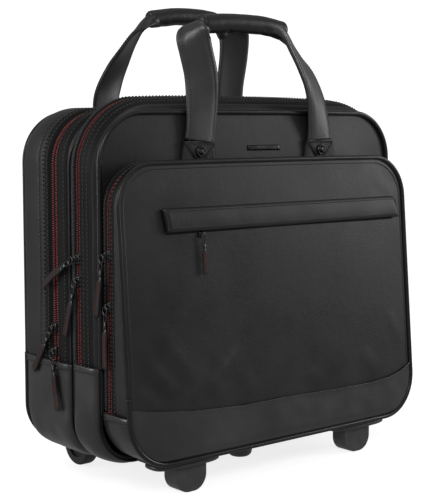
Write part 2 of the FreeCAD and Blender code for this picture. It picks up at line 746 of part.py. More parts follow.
def anchors(name, back, toward):
    """The two stitched plates that hold a handle's straps, and their rivets."""
    far = "(%s %s plate_thick)" % (back, toward)
    low, high = (far, back) if toward == "-" else (back, far)
    body = new_body(name + "_plates")
    loops = []
    for sign in ("-", ""):
        x = "%sanchor" % sign
        loops.append([("%s - strap_width / 2 - plate_flare" % x, "plate_base"),
                      ("%s + strap_width / 2 + plate_flare" % x, "plate_base"),
                      ("%s + strap_width / 2" % x, "strap_base - seam_gap"),
                      ("%s - strap_width / 2" % x, "strap_base - seam_gap")])
    pad_xz(body, loops, low, high)
    label(body, name + "_plates")
    heads = []
    for side, sign in (("left", "-"), ("right", "")):
        start = "%s - rivet_height" % far if toward == "-" else far
        head = cylinder("%s_rivet_%s" % (name, side), "Y", "%sanchor" % sign, start, "rivet_place",
                        "rivet_radius", "rivet_height")
        outer = value(start) if toward == "-" else value(start) + value("rivet_height")
        heads.append(soften(head.Name, head, 1.2, lambda e, y=outer: isinstance(e.Curve, Part.Circle)
                            and abs(e.Vertexes[0].Y - y) < 0.1))
    label(group(name + "_rivets", *heads), name + "_rivets")


for name, back, toward in (("front_handle", "-front_plane", "-"), ("rear_handle", "rear_plane", "+")):
    prefix = name.split("_")[0]
    anchors(name, back, toward)
    handle(name, back, toward, *[prefix + end for end in ("_strap_off", "_grip_middle", "_grip_length",
                                                          "_grip_height")])


# ---------------------------------------------------------------- zip sliders and pullers
def slider_and_puller(name, half, line, height, swing, stand_off):
    """A slider on the left side of the case and the puller that hangs from it.

    swing turns the hanging puller in the plane of the side, towards +Y; stand_off is how far the puller
    lies outside the slider, so that it clears what it lies over.
    """
    face = "(-(%s) - slider_off)" % half
    outer = "(%s - slider_thick)" % face
    slab = box(name + "_slab", outer, face, "%s - slider_width / 2" % line, "%s + slider_width / 2" % line,
               "%s - slider_length / 2" % height, "%s + slider_length / 2" % height)
    label(soften(name, slab, 1.4, along("x")), name + "_slider")
    hang_x = "(%s - %s - puller_thick)" % (outer, stand_off)
    link = box(name + "_link", "0", "puller_thick", "-link_width / 2", "link_width / 2", "-link_length", "0")
    eye = cylinder(name + "_eye", "Y", "puller_thick / 2", "-link_width / 2", "0", "puller_thick / 2",
                   "link_width")
    tab = box(name + "_tab", "0", "puller_thick", "-tab_width / 2", "tab_width / 2",
              "-link_length - tab_length", "-link_length + 2")
    puller = unite(name + "_puller", eye, link, tab)
    long_edge = value("tab_length") * 0.9
    moved = soften(name + "_puller", puller, 0.6, lambda e: e.BoundBox.ZLength > long_edge)
    moved.Placement = FreeCAD.Placement(FreeCAD.Vector(),
                                        FreeCAD.Rotation(FreeCAD.Vector(1, 0, 0), swing))
    bind(moved, "Placement.Base.x", hang_x)
    bind(moved, "Placement.Base.y", line)
    bind(moved, "Placement.Base.z", height)
    label(moved, name + "_puller")


# name, half width under it, line of the zip, height, swing of the puller in degrees, stand-off
CLOSE = "puller_gap"
OVER = "(2 * puller_gap + puller_thick)"
SIDE_SLIDERS = (
    ("rear_upper", TUCKED, "zip_rear", "167", 35, CLOSE),
    ("rear_lower", TUCKED, "zip_rear", "142", -8, CLOSE),
    ("middle_upper", TUCKED, "-zip_middle", "243", 62, OVER),
    ("middle_lower", TUCKED, "-zip_middle", "221", 17, CLOSE),
    ("front_upper", POCKET_TUCKED, "-zip_front", "250", 17, OVER),
    ("front_lower", POCKET_TUCKED, "-zip_front", "198", 2, CLOSE),
)
for entry in SIDE_SLIDERS:
    slider_and_puller(*entry)

# the slider of the hidden zip under the flap, and its puller hanging down the pocket face
FLAP_SLIDER_X = "-107"
flap_slab = box("flap_slab", "%s - slider_length / 2" % FLAP_SLIDER_X,
                "%s + slider_length / 2" % FLAP_SLIDER_X,
                "-slider_thick", "-0.2", "%s - slider_width - 0.3" % FLAP_LOW, "%s - 0.3" % FLAP_LOW)
flap_slider = soften("flap_slider", flap_slab, 1.2, along("y"))
flap_link = box("flap_link", "-link_width / 2", "link_width / 2", "-puller_thick", "0", "-10", "0")
flap_tab = box("flap_tab", "-tab_width / 2", "tab_width / 2", "-puller_thick", "0", "-10 - tab_length", "-8")
flap_eye = cylinder("flap_eye", "X", "-link_width / 2", "-puller_thick / 2", "0", "puller_thick / 2",
                    "link_width")
flap_puller = soften("flap_puller", unite("flap_puller", flap_eye, flap_link, flap_tab), 0.6,
                     lambda e: abs(e.BoundBox.ZLength) > value("tab_length") * 0.9)


def seat_on_face(thing, x, out, up):
    """Place a piece on the leaning pocket face at a distance out from it and up along it."""
    thing.Placement = FreeCAD.Placement(FreeCAD.Vector(), FreeCAD.Rotation(FreeCAD.Vector(-1, 0, 0), 1))
    bind(thing, "Placement.Rotation.Angle", "(%s)" % LEAN)
    bind(thing, "Placement.Base.x", x)
    bind(thing, "Placement.Base.y", "-%s - (%s) * cos(%s) + (%s) * sin(%s)" % (HINGE_Y, out, LEAN, up, LEAN))
    bind(thing, "Placement.Base.z", "%s + (%s) * cos(%s) + (%s) * sin(%s)" % (FACE_LOW, up, LEAN, out, LEAN))


seat_on_face(flap_slider, "0", "0", "0")
seat_on_face(flap_puller, FLAP_SLIDER_X, "slider_thick + puller_gap", "%s - slider_width / 2" % FLAP_LOW)
label(flap_slider, "flap_slider")
label(flap_puller, "flap_puller")

# ---------------------------------------------------------------- check and write
doc.recompute()
bad = [o.Label for o in doc.Objects if {"Invalid", "Error"} & set(o.State)]
assert not bad, "failed objects: %s" % bad
for thing in subparts:
    shape = thing.Shape
    assert not shape.isNull() and shape.isValid() and shape.Volume > 0, "bad shape: " + thing.Label
for thing in subparts:
    thing.Shape.exportStep(os.path.join(OUT, thing.Label + ".step"))
print(len(subparts), "sub-parts written")
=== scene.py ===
import math

import bpy
import numpy as np
from mathutils import Matrix, Vector, noise


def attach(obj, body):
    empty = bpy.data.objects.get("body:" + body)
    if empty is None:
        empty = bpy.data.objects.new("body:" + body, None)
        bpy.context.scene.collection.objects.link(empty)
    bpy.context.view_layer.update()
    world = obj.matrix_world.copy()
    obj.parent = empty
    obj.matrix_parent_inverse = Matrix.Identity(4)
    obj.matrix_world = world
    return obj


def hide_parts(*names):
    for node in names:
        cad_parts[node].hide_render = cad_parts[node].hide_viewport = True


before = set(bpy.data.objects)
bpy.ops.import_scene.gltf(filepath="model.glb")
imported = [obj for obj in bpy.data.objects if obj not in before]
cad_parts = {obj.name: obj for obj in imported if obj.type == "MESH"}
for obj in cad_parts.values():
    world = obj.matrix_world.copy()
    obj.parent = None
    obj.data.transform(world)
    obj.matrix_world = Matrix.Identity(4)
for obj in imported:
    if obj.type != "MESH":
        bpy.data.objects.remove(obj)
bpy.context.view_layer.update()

MM = 0.001
TURN = 2 * math.pi
SIDES = (("left", -1), ("right", 1))


# ---------------------------------------------------------------- materials
def node_material(name, colour, rough, **sockets):
    """A material with its object coordinates ready for the surface detail."""
    mat = bpy.data.materials.new(name)
    mat.use_nodes = True
    tree = mat.node_tree
    shader = tree.nodes["Principled BSDF"]
    shader.inputs["Base Color"].default_value = (*colour, 1)
    shader.inputs["Roughness"].default_value = rough
    for key, number in sockets.items():
        shader.inputs[key.replace("_", " ")].default_value = number
    place = tree.nodes.new("ShaderNodeTexCoord")
    return mat, tree, shader, place.outputs["Object"]


def texture(tree, kind, where, scale, **settings):
    node = tree.nodes.new(kind)
    node.inputs["Scale"].default_value = scale
    for key, number in settings.items():
        node.inputs[key].default_value = number
    tree.links.new(where, node.inputs["Vector"])
    return node


def ramp(tree, source, low, high, start=0.0, stop=1.0):
    """Spread a value between two numbers or colours."""
    node = tree.nodes.new("ShaderNodeValToRGB")
    node.color_ramp.elements[0].position = start
    node.color_ramp.elements[1].position = stop
    for element, value in zip(node.color_ramp.elements, (low, high)):
        element.color = (*value, 1) if hasattr(value, "__len__") else (value, value, value, 1)
    tree.links.new(source, node.inputs["Fac"])
    return node.outputs["Color"]


def bump(tree, shader, source, strength, distance, under=None):
    """A bump node into the shader's normal, over an earlier one if there is one."""
    node = tree.nodes.new("ShaderNodeBump")
    node.inputs["Strength"].default_value = strength
    node.inputs["Distance"].default_value = distance
    tree.links.new(source, node.inputs["Height"])
    if under:
        tree.links.new(under, node.inputs["Normal"])
    tree.links.new(node.outputs["Normal"], shader.inputs["Normal"])
    return node.outputs["Normal"]


def leather(name, dark, light, rough_low, rough_high, grain=1.0, gloss=0.45):
    """Smooth faux leather: soft patches of sheen, shallow creases and a fine pebble."""
    mat, tree, shader, where = node_material(name, dark, rough_low)
    shader.inputs["Specular IOR Level"].default_value = gloss
    patches = texture(tree, "ShaderNodeTexNoise", where, 16, Detail=4.0, Roughness=0.55)
    tree.links.new(ramp(tree, patches.outputs["Fac"], dark, light, 0.35, 0.7), shader.inputs["Base Color"])
    tree.links.new(ramp(tree, patches.outputs["Fac"], rough_low, rough_high, 0.3, 0.7),
                   shader.inputs["Roughness"])
    creases = texture(tree, "ShaderNodeTexNoise", where, 130, Detail=5.0, Roughness=0.6)
    soft = bump(tree, shader, creases.outputs["Fac"], 0.25 * grain, 0.0006)
    pebble = texture(tree, "ShaderNodeTexVoronoi", where, 850)
    bump(tree, shader, pebble.outputs["Distance"], 0.30 * grain, 0.00035, soft)
    return mat


def woven(name, dark, light, scale, rough, sheen):
    """A plain weave: two crossed waves, with a little colour from thread to thread."""
    mat, tree, shader, where = node_material(name, dark, rough)
    shader.inputs["Sheen Weight"].default_value = sheen
    warp = texture(tree, "ShaderNodeTexWave", where, scale, Distortion=0.4)
    weft = texture(tree, "ShaderNodeTexWave", where, scale, Distortion=0.4)
    weft.bands_direction = "Z"
    mix = tree.nodes.new("ShaderNodeMath")
    mix.operation = "MULTIPLY"
    tree.links.new(warp.outputs["Fac"], mix.inputs[0])
    tree.links.new(weft.outputs["Fac"], mix.inputs[1])
    tree.links.new(ramp(tree, mix.outputs[0], dark, light), shader.inputs["Base Color"])
    bump(tree, shader, mix.outputs[0], 0.5, 0.0004)
    return mat


def metal(name, colour, rough, scratch=60):
    mat, tree, shader, where = node_material(name, colour, rough, Metallic=1.0)
    lines = texture(tree, "ShaderNodeTexNoise", where, scratch, Detail=6.0)
    tree.links.new(ramp(tree, lines.outputs["Fac"], rough * 0.7, min(1, rough * 1.5), 0.3, 0.7),
                   shader.inputs["Roughness"])
    bump(tree, shader, lines.outputs["Fac"], 0.05, 0.0002)
    return mat


def moulded(name, colour, rough, texture_scale=900):
    """Moulded plastic with a spark-eroded texture and scuffed patches."""
    mat, tree, shader, where = node_material(name, colour, rough)
    fine = texture(tree, "ShaderNodeTexNoise", where, texture_scale, Detail=2.0)
    scuff = texture(tree, "ShaderNodeTexNoise", where, 45, Detail=6.0, Roughness=0.7)
    tree.links.new(ramp(tree, scuff.outputs["Fac"], rough * 0.85, min(1, rough * 1.25), 0.35, 0.65),
                   shader.inputs["Roughness"])
    tree.links.new(ramp(tree, scuff.outputs["Fac"], colour, tuple(c * 1.5 for c in colour), 0.45, 0.75),
                   shader.inputs["Base Color"])
    bump(tree, shader, fine.outputs["Fac"], 0.25, 0.0003)
    return mat


MATS = {
    "body": leather("body leather", (0.0125, 0.0125, 0.0135), (0.022, 0.0215, 0.022), 0.36, 0.50),
    # boot leather: its lighter base colour is partly the boots' own leather and partly painted reflection,
    # standing in for the glow the boots take from the white floor
    "boot": leather("boot leather with painted floor glow", (0.019, 0.019, 0.020), (0.034, 0.034, 0.035), 0.22, 0.40, 0.7, 0.85),
    "piping": leather("piping leather", (0.010, 0.010, 0.011), (0.015, 0.015, 0.016), 0.26, 0.36, 0.5),
    "handle": leather("handle leather", (0.013, 0.013, 0.014), (0.021, 0.021, 0.022), 0.30, 0.42, 0.7),
    # strap leather: a lighter copy of the handle leather for the front handle's strap; the extra lightness
    # is painted light, for the light falling on the strap's face
    "strap": leather("strap leather painted lit", (0.024, 0.024, 0.025), (0.050, 0.050, 0.051),
                     0.28, 0.42, 1.1, 0.85),
    "tab": leather("tab leather", (0.010, 0.009, 0.009), (0.016, 0.014, 0.014), 0.36, 0.48, 0.8),
    "strip": leather("gusset strip", (0.0055, 0.0055, 0.0058), (0.0095, 0.009, 0.0095),
                     0.55, 0.68, 1.2, 0.2),
    # zip tape: black tape made darker still, so it also carries painted shade, the shadow in the zip's
    # recess
    "tape": woven("zip tape painted with recess shade", (0.003, 0.003, 0.003), (0.007, 0.007, 0.007), 420, 0.95, 0.0),
    "coil": woven("zip coil", (0.24, 0.020, 0.022), (0.46, 0.060, 0.060), 600, 0.5, 0.0),
    "lining": woven("lining", (0.018, 0.018, 0.020), (0.045, 0.045, 0.050), 300, 0.8, 0.2),
    # black thread: a lighter grey than the black leather, so the stitch dots carry painted highlights; the
    # thread itself is as black as the leather
    "thread": woven("black thread painted with highlights", (0.045, 0.044, 0.045), (0.10, 0.098, 0.10), 1500, 0.5, 0.05),
    "red_thread": woven("red thread", (0.16, 0.012, 0.012), (0.30, 0.035, 0.03), 1500, 0.6, 0.0),
    "hardware": metal("gunmetal", (0.075, 0.075, 0.078), 0.22),
    "rivet": metal("rivet metal", (0.055, 0.055, 0.057), 0.28),
    "tube": metal("anodised tube", (0.42, 0.42, 0.43), 0.32, 30),
    "plastic": moulded("moulded plastic", (0.058, 0.056, 0.057), 0.32),
    "button": moulded("button plastic", (0.085, 0.085, 0.09), 0.45),
    "rubber": moulded("wheel rubber", (0.022, 0.022, 0.022), 0.6, 500),
    "steel": metal("axle steel", (0.55, 0.55, 0.55), 0.3),
}


# ---------------------------------------------------------------- mesh building
def add_mesh(name, verts, faces, mats, body, face_mats=None, thick=0.0, pad=None, nodes=()):
    """A mesh piece in millimetres that rides on a body. mats[0] names its slot."""
    mesh = bpy.data.meshes.new(name)
    mesh.from_pydata([tuple(float(c) * MM for c in v) for v in verts], [], [tuple(f) for f in faces])
    mesh.validate()
    obj = bpy.data.objects.new(name, mesh)
    bpy.context.scene.collection.objects.link(obj)
    for key in mats:
        mesh.materials.append(MATS[key])
    if face_mats is not None:
        mesh.polygons.foreach_set("material_index", np.asarray(face_mats, np.int32))
    mesh.polygons.foreach_set("use_smooth", [True] * len(mesh.polygons))
    if thick:
        wall = obj.modifiers.new("wall", "SOLIDIFY")
        wall.thickness = thick * MM
        wall.offset = -1
        wall.use_even_offset = True
        if len(mats) > 1:
            wall.material_offset = len(mats) - 1
    mesh.update()
    if body:
        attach(obj, body)
    if nodes:
        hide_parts(*nodes)
    return obj


def unit(v):
    return v / max(np.linalg.norm(v), 1e-9)


def level(v, t):
    """The part of a direction that is square to a tangent, as a unit."""
    v = np.asarray(v, float)
    return unit(v - t * np.dot(v, t))


def round_angles(count):
    return np.linspace(0, TURN, count, endpoint=False)


def caps(rows, cols, flip=False, start=0):
    """The two end faces of a tube of rings."""
    first = tuple(start + k for k in range(cols))
    last = tuple(start + (rows - 1) * cols + k for k in range(cols))
    return [first[::-1], last] if flip else [first, last[::-1]]


def grid_faces(rows, cols, wrap=False, flip=False):
    """The quads of a grid of points. wrap closes its rows."""
    faces = []
    for i in range(rows - 1):
        for j in range(cols if wrap else cols - 1):
            k = (j + 1) % cols
            quad = (i * cols + j, i * cols + k, (i + 1) * cols + k, (i + 1) * cols + j)
            faces.append(quad[::-1] if flip else quad)
    return faces


def facing_out(points, centre):
    """Whether the faces of a grid of points look away from a centre."""
    a = points[1:, :-1] - points[:-1, :-1]
    b = points[:-1, 1:] - points[:-1, :-1]
    normal = np.cross(b, a)
    away = points[:-1, :-1] - np.asarray(centre, float)
    return float((normal * away).sum()) > 0


def grid_mesh(name, points, mats, body, centre, face_mat=None, hole=None, **extra):
    """A surface through a grid of points, facing away from a centre, less the faces inside a hole."""
    rows, cols = points.shape[:2]
    faces = grid_faces(rows, cols, flip=not facing_out(points, centre))
    flat = points.reshape(-1, 3)
    if hole:
        faces = [f for f in faces if not hole(np.mean([flat[v] for v in f], axis=0))]
    marks = None
    if face_mat is not None:
        marks = [face_mat(np.mean([flat[v] for v in f], axis=0)) for f in faces]
    return add_mesh(name, flat, faces, mats, body, marks, **extra)


def spline(control, steps):
    """A smooth run of rows through control rows. steps says how many rows go between two of them."""
    rows = [np.asarray(c, float) for c in control]
    rows = [2 * rows[0] - rows[1]] + rows + [2 * rows[-1] - rows[-2]]
    out = []
    for i in range(1, len(rows) - 2):
        a, b, c, d = rows[i - 1:i + 3]
        count = steps(b, c)
        for k in range(count):
            t = k / count
            out.append(0.5 * (2 * b + (c - a) * t + (2 * a - 5 * b + 4 * c - d) * t * t
                              + (3 * b - a - 3 * c + d) * t ** 3))
    out.append(rows[-2])
    return np.array(out)


def catmull(control, step):
    """A smooth run of rows, spaced by their first number."""
    return spline(control, lambda b, c: max(1, int(math.ceil(abs(c[0] - b[0]) / step))))


def resample(path, spacing):
    """Points at an even spacing along a polyline."""
    path = np.asarray(path, float)
    seg = np.linalg.norm(np.diff(path, axis=0), axis=1)
    dist = np.concatenate([[0], np.cumsum(seg)])
    count = max(2, int(round(dist[-1] / spacing)) + 1)
    at = np.linspace(0, dist[-1], count)
    return np.stack([np.interp(at, dist, path[:, k]) for k in range(path.shape[1])], axis=1)


def ripple(p, size, seed):
    """Smooth noise at a place: size is how far apart its bumps are."""
    return noise.noise(Vector((p[0] / size + seed, p[1] / size - seed, p[2] / size + 0.37 * seed)))


# ---------------------------------------------------------------- outlines in X and Z
def run(a, b, n):
    return np.linspace(a, b, n, endpoint=False)


def over_path(half, top, low, radius, crown=0.0):
    """From low on the left, up, over the top and down the right."""
    r = min(radius, half - 5)
    pts = [(-half, z) for z in run(low, top - r, 46)]
    pts += [(-half + r - r * math.cos(a), top - r + r * math.sin(a)) for a in run(0, math.pi / 2, 22)]
    pts += [(x, top) for x in run(-half + r, 0, 34)]
    pts += [(-x, z) for x, z in [(0, top)] + pts[::-1]]
    pts = np.array(pts)
    lift = np.clip((pts[:, 1] - (top - 160)) / 160, 0, 1) ** 2
    pts[:, 1] -= crown * np.abs(pts[:, 0] / half) ** 3 * lift
    return pts


def under_path(half, high, base, radius):
    """From high on the left, down, under the case and up the right."""
    r = radius
    pts = [(-half, z) for z in run(high, base + r, 22)]
    pts += [(-half + r - r * math.cos(a), base + r - r * math.sin(a)) for a in run(0, math.pi / 2, 22)]
    pts += [(x, base) for x in run(-half + r, 0, 30)]
    pts += [(-x, z) for x, z in [(0, base)] + pts[::-1]]
    return np.array(pts)


# Each lobe: half width, top, base, top radius, base radius, and its section from back to front.
# A section row is y, then how far the surface lies inside the outline at the sides, top and base, and
# how much the top falls away towards the corners.
REAR = dict(half=215.0, top=398.0, base=26.0, r_top=56.0, r_base=46.0, boot=131.0)
FRONT = dict(half=215.0, top=410.0, base=27.5, r_top=72.0, r_base=46.0, boot=133.5)
POCKET = dict(half=207.5, top=341.5, base=38.0, r_top=44.0, r_base=48.0, boot=89.0)

MID_GUSSET = [(0.9, 11, 18, 13, 3), (2.2, 6.5, 11, 8, 4), (4.6, 2.4, 4.6, 3, 4), (8, 0.9, 2, 1, 4),
              (15, 0.4, 1.2, 1, 4), (21.8, 0.8, 1.4, 1, 4), (23.0, 1.4, 2.0, 1, 4), (23.8, 3.4, 4.0, 1, 4),
              (26.5, 4.0, 4.6, 1, 4), (29.8, 4.2, 4.8, 1, 4)]
REAR_GUSSET = [(30.8, 4.2, 4.8, 1, 4), (34.0, 4.0, 4.6, 1, 4), (37.0, 3.4, 4.0, 1, 4),
               (37.8, 1.4, 2.0, 1, 4), (39, 0.7, 1.2, 1, 4), (44.4, 0.5, 0.8, 1, 4),
               (45.6, 1.3, 1.6, 1, 4), (47, 0.4, 0.6, 1, 4),
               (54, 0.2, 0.4, 1, 4), (55.4, 1.2, 1.4, 1, 4), (57, 0.4, 0.3, 1, 4), (70, 0.2, -0.4, 1, 4),
               (82, 0.6, 1.6, 1, 4), (88, 2.4, 5.0, 3, 4), (91, 5.4, 8.6, 6, 4)]
FRONT_RIM = [(-13.9, 3.4, 3.0, 1, 7), (-10.9, 3.0, 2.6, 1, 7), (-10.1, 1.2, 0.8, 1, 7),
             (-9.4, 0.6, 0.3, 1, 7), (-6.0, 0.9, 0.6, 1, 7), (-4.0, 2.4, 2.6, 3, 7),
             (-2.2, 6.5, 8, 8, 6), (-0.9, 11, 16, 13, 5)]
FRONT_GUSSET = [(-46.6, 8.0, 19, 8, 2), (-45.4, 5.4, 15.5, 6, 2.5), (-42.6, 2.6, 11, 3, 4),
                (-38, 0.9, 7.2, 1, 6), (-31, 0.2, 4.2, 1, 7), (-24, 0.2, 2.2, 1, 7),
                (-20.4, 0.8, 1.8, 1, 7), (-19.0, 1.6, 2.2, 1, 7), (-18.2, 3.0, 3.4, 1, 7),
                (-15.1, 3.4, 3.6, 1, 7)]
POCKET_RIM = [(-57.7, 3.0, 3.0, 1, 1.5), (-54.9, 2.6, 2.6, 1, 1.5), (-54.0, 0.9, 0.9, 1, 1.5),
              (-51, 0.6, 0.9, 1, 1.5), (-48.6, 1.8, 2.4, 2, 1.5), (-46.9, 4.4, 5.2, 4, 1.5)]
POCKET_GUSSET = [(-101.5, 6.8, 6.8, 6, 1.5), (-99.6, 4.0, 4.4, 3, 1.5), (-97.5, 1.2, 1.8, 1, 1.5),
                 (-92, 0.5, 0.8, 1, 1.5), (-74, 0.2, 0.2, 1, 1.5), (-65, 0.4, 0.5, 1, 1.5),
                 (-62.6, 0.7, 0.9, 1, 1.5), (-61.7, 2.6, 2.6, 1, 1.5), (-58.7, 3.0, 3.0, 1, 1.5)]

FACE_TOP, FACE_TOP_Y, FACE_SLOPE = 339.4, -73.7, 0.0832


def face_y(z):
    """The leaning plane of the pocket's face."""
    return FACE_TOP_Y - FACE_SLOPE * (FACE_TOP - z)


def pocket_y(y, z):
    """Section rows in front of the pocket's zip lean with the face, which is -101.5 in them."""
    return y if y > -62 else -62 + (y + 62) / (-101.5 + 62) * (face_y(z) + 62)


def tuck_in(lobe, z):
    """How far an upper shell draws in where it goes down inside its boot."""
    t = np.clip((lobe["boot"] + 5 - z) / 9, 0, 1)
    return 3.3 * t * t * (3 - 2 * t)


def lobe_path(lobe, kind, row, end, grow=0.0):
    """The outline of a lobe at one section row, over its top or under its base, from and to a height."""
    side, top, base, crown = row
    half = lobe["half"] - side + grow
    if kind == "over":
        return over_path(half, lobe["top"] - top + grow, end, lobe["r_top"] - 0.5 * side, crown)
    return under_path(half, end, lobe["base"] + base - grow, lobe["r_base"] - 0.5 * side)


def surface(lobe, section, kind, end, y_of):
    """The grid of points of one stretch of a lobe."""
    rows = []
    for y, *row in catmull(section, 1.4):
        path = lobe_path(lobe, kind, row, end)
        if kind == "over":
            path[:, 0] -= np.sign(path[:, 0]) * tuck_in(lobe, path[:, 1])
        ys = [y_of(y, z) if y_of else y for x, z in path]
        rows.append(np.column_stack([path[:, 0], ys, path[:, 1]]))
    return np.array(rows)


def soften(points, amount, size, seed, centre, where=None):
    """Push a surface in and out a little, as padding does."""
    out = points.copy()
    for i in range(points.shape[0]):
        for j in range(points.shape[1]):
            p = points[i, j]
            away = Vector(p - centre)
            away.y *= 0.3
            away.normalize()
            wave = ripple(p, size, seed) + 0.5 * ripple(p, size * 0.45, seed + 5)
            share = where(p) if where else 1.0
            out[i, j] = p + np.array(away) * wave * amount * share
    return out


CORE = {"rear": np.array([0, 45, 210.0]), "front": np.array([0, -20, 215.0]),
        "pocket": np.array([0, -70, 190.0])}

# how far each upper shell reaches down into the boots
TUCK = 104.0
BOOT_TOP = 131.0
POCKET_BOOT_TOP = 89.0


def look_by_y(bands):
    """Which material of a shell a face takes, from bands of y."""
    def pick(p):
        for low, high, index in bands:
            if low < p[1] < high:
                return index
        return 0
    return pick


def shell(name, lobe, section, body, core, nodes, bands, low, y_of=None, seed=1.0, amount=0.5, hole=None):
    """The upper leather of a lobe, soft, with its zip tape and its strip as other materials."""
    pts = surface(lobe, section, "over", low, y_of)
    pts = soften(pts, amount, 70, seed, CORE[core])
    return grid_mesh(name, pts, ["body", "tape", "strip", "lining"], body, CORE[core],
                     face_mat=look_by_y(bands), hole=hole, thick=1.8, pad=0.5, nodes=nodes)


shell("rear_gusset_skin", REAR, REAR_GUSSET, "case", "rear", ["rear_gusset"],
      [(23, 38.2, 1), (38.2, 45.6, 2)], BOOT_TOP - 24,
      hole=lambda p: abs(p[0]) < 91.5 and 62.6 < p[1] < 88.6 and p[2] > 370)
shell("mid_gusset_skin", REAR, MID_GUSSET, "mid_section", "rear", ["mid_gusset"],
      [(22.8, 38, 1), (4.6, 22.8, 2)], TUCK)
shell("front_rim_skin", FRONT, FRONT_RIM, "mid_section", "front", ["mid_rim"],
      [(-18.6, -10.2, 1)], TUCK, seed=3.0)
shell("front_gusset_skin", FRONT, FRONT_GUSSET, "front_section", "front", ["front_gusset"],
      [(-18.6, -10.6, 1), (-40, -18.6, 2)], TUCK - 4, seed=3.0)
shell("pocket_rim_skin", POCKET, POCKET_RIM, "front_section", "pocket", ["pocket_rim"],
      [(-61.8, -54.2, 1)], 84.0, pocket_y, seed=4.0, amount=0.3)
shell("pocket_gusset_skin", POCKET, POCKET_GUSSET, "pocket_front", "pocket", ["pocket_gusset"],
      [(-61.9, -54.6, 1), (-70, -61.9, 2)], 76.0, pocket_y, seed=4.0, amount=0.3)


# ---------------------------------------------------------------- boots
REAR_BOOT = [(0.9, 10.5, 16, 12, 0), (2.2, 7.0, 10, 8, 0), (4.5, 3.2, 4.6, 3.8, 0), (9, 1.2, 2, 1.2, 0),
             (20, 0.3, 0, 0.2, 0), (40, 0.0, 0, 0, 0), (62, 0.0, 0, 0, 0), (78, 0.4, 0, 0.6, 0),
             (86, 2.2, 0, 3.6, 0), (90.5, 5.8, 0, 8, 0)]
FRONT_BOOT = [(-46.4, 8.4, 0, 9, 0), (-45.0, 4.6, 0, 5.5, 0), (-41, 1.6, 0, 2.0, 0), (-32, 0.2, 0, 0.2, 0),
              (-20, 0.0, 0, 0, 0), (-10, 0.5, 0, 0.5, 0), (-4.5, 3.0, 0, 3.4, 0), (-2.2, 7.0, 0, 8, 0),
              (-0.9, 10.5, 0, 12, 0)]
POCKET_BOOT = [(-101.5, 6.5, 0, 6, 0), (-99.6, 4.0, 0, 3.6, 0), (-97, 1.1, 0, 1.0, 0),
               (-86, -0.6, 0, -0.6, 0), (-70, -0.8, 0, -0.8, 0), (-56, -0.4, 0, -0.2, 0),
               (-50, 1.0, 0, 1.4, 0), (-47.2, 5.0, 0, 6.0, 0)]


def boot_folds(p):
    """Folds gather where a boot turns under the case."""
    return 0.25 + 2.2 * math.exp(-((p[2] - 58) / 32) ** 2)


def make_boot(name, lobe, section, high, core, nodes, seed, y_of=None):
    pts = surface(lobe, section, "under", high, y_of)
    pts = soften(pts, 0.9, 46, seed, CORE[core], boot_folds)
    return grid_mesh(name, pts, ["boot", "lining"], "case", CORE[core], thick=2.2, pad=0.5, nodes=nodes)


make_boot("rear_boot_skin", REAR, REAR_BOOT, BOOT_TOP, "rear", ["rear_boot"], 7.0)
make_boot("front_boot_skin", FRONT, FRONT_BOOT, BOOT_TOP + 2.5, "front", ["front_boot"], 8.0)
make_boot("pocket_boot_skin", POCKET, POCKET_BOOT, POCKET_BOOT_TOP, "pocket", [], 9.0, pocket_y)


# ---------------------------------------------------------------- flat padded panels
def side_limit(z, half, top, base, r_top, r_base):
    """Half the width of a rounded outline at a height."""
    if z > top - r_top:
        d = min(r_top, z - (top - r_top))
        return half - r_top + math.sqrt(max(0.0, r_top ** 2 - d ** 2))
    if z < base + r_base:
        d = min(r_base, base + r_base - z)
        return half - r_base + math.sqrt(max(0.0, r_base ** 2 - d ** 2))
    return half


PANEL_STEP, PANEL_COLS, PANEL_WAVE = 6.0, 78, 0.4


def panel_heights(top, base, r_top, r_base):
    """Rows of a panel, closer together where its corners turn."""
    upper = [top - r_top + r_top * math.sin(a) for a in np.linspace(0, math.pi / 2, 16)]
    lower = [base + r_base - r_base * math.cos(a) for a in np.linspace(0, math.pi / 2, 16)]
    middle = list(np.arange(base + r_base + PANEL_STEP, top - r_top - PANEL_STEP * 0.5, PANEL_STEP))
    return sorted(set(lower + middle + upper))


def panel(name, outline, y_of, mats, body, crown, low_of=None, seed=2.0, out=-1, folds=None, **extra):
    """A padded panel. out is the side along Y that it looks at."""
    half, top, base, r_top, r_base = outline
    rows = []
    heights = panel_heights(top, base, r_top, r_base)
    for z0 in heights:
        row = []
        for u in np.linspace(-1, 1, PANEL_COLS):
            u = math.sin(u * math.pi / 2) * 0.35 + u * 0.65
            z = z0
            if low_of:
                x0 = u * side_limit(max(z0, base), half, top, base, r_top, r_base)
                low = low_of(x0)
                z = low + (z0 - heights[0]) / (heights[-1] - heights[0]) * (top - low)
            x = u * side_limit(z, half, top, base, r_top, r_base)
            v = (z - base) / (top - base) * 2 - 1
            rise = (1 - abs(u) ** 6) * (1 - abs(v) ** 6)
            y = y_of(z) + out * (crown * (1 - 0.6 * u * u) * (1 - 0.6 * v * v) * rise)
            p = np.array([x, y, z])
            wave = ripple(p, 85, seed) * PANEL_WAVE + ripple(p, 30, seed + 3) * PANEL_WAVE * 0.35
            if folds:
                wave += folds(x, z)
            row.append([x, y + out * wave * rise, z])
        rows.append(row)
    pts = np.array(rows)
    centre = np.array([0, pts[:, :, 1].mean() - out * 400, 200])
    return grid_mesh(name, pts, mats, body, centre, **extra)


# the seam of the band across the foot of the pocket's face
BAND = np.array([(-210, 99.8), (-205, 99), (-178, 94), (-133, 88.5), (-64, 84.5), (-5, 84.6), (74, 82.6),
                 (130, 82.2), (161, 84), (185, 88.3), (205, 96), (210, 98)])


def band_z(x):
    return float(np.interp(x, BAND[:, 0], BAND[:, 1]))


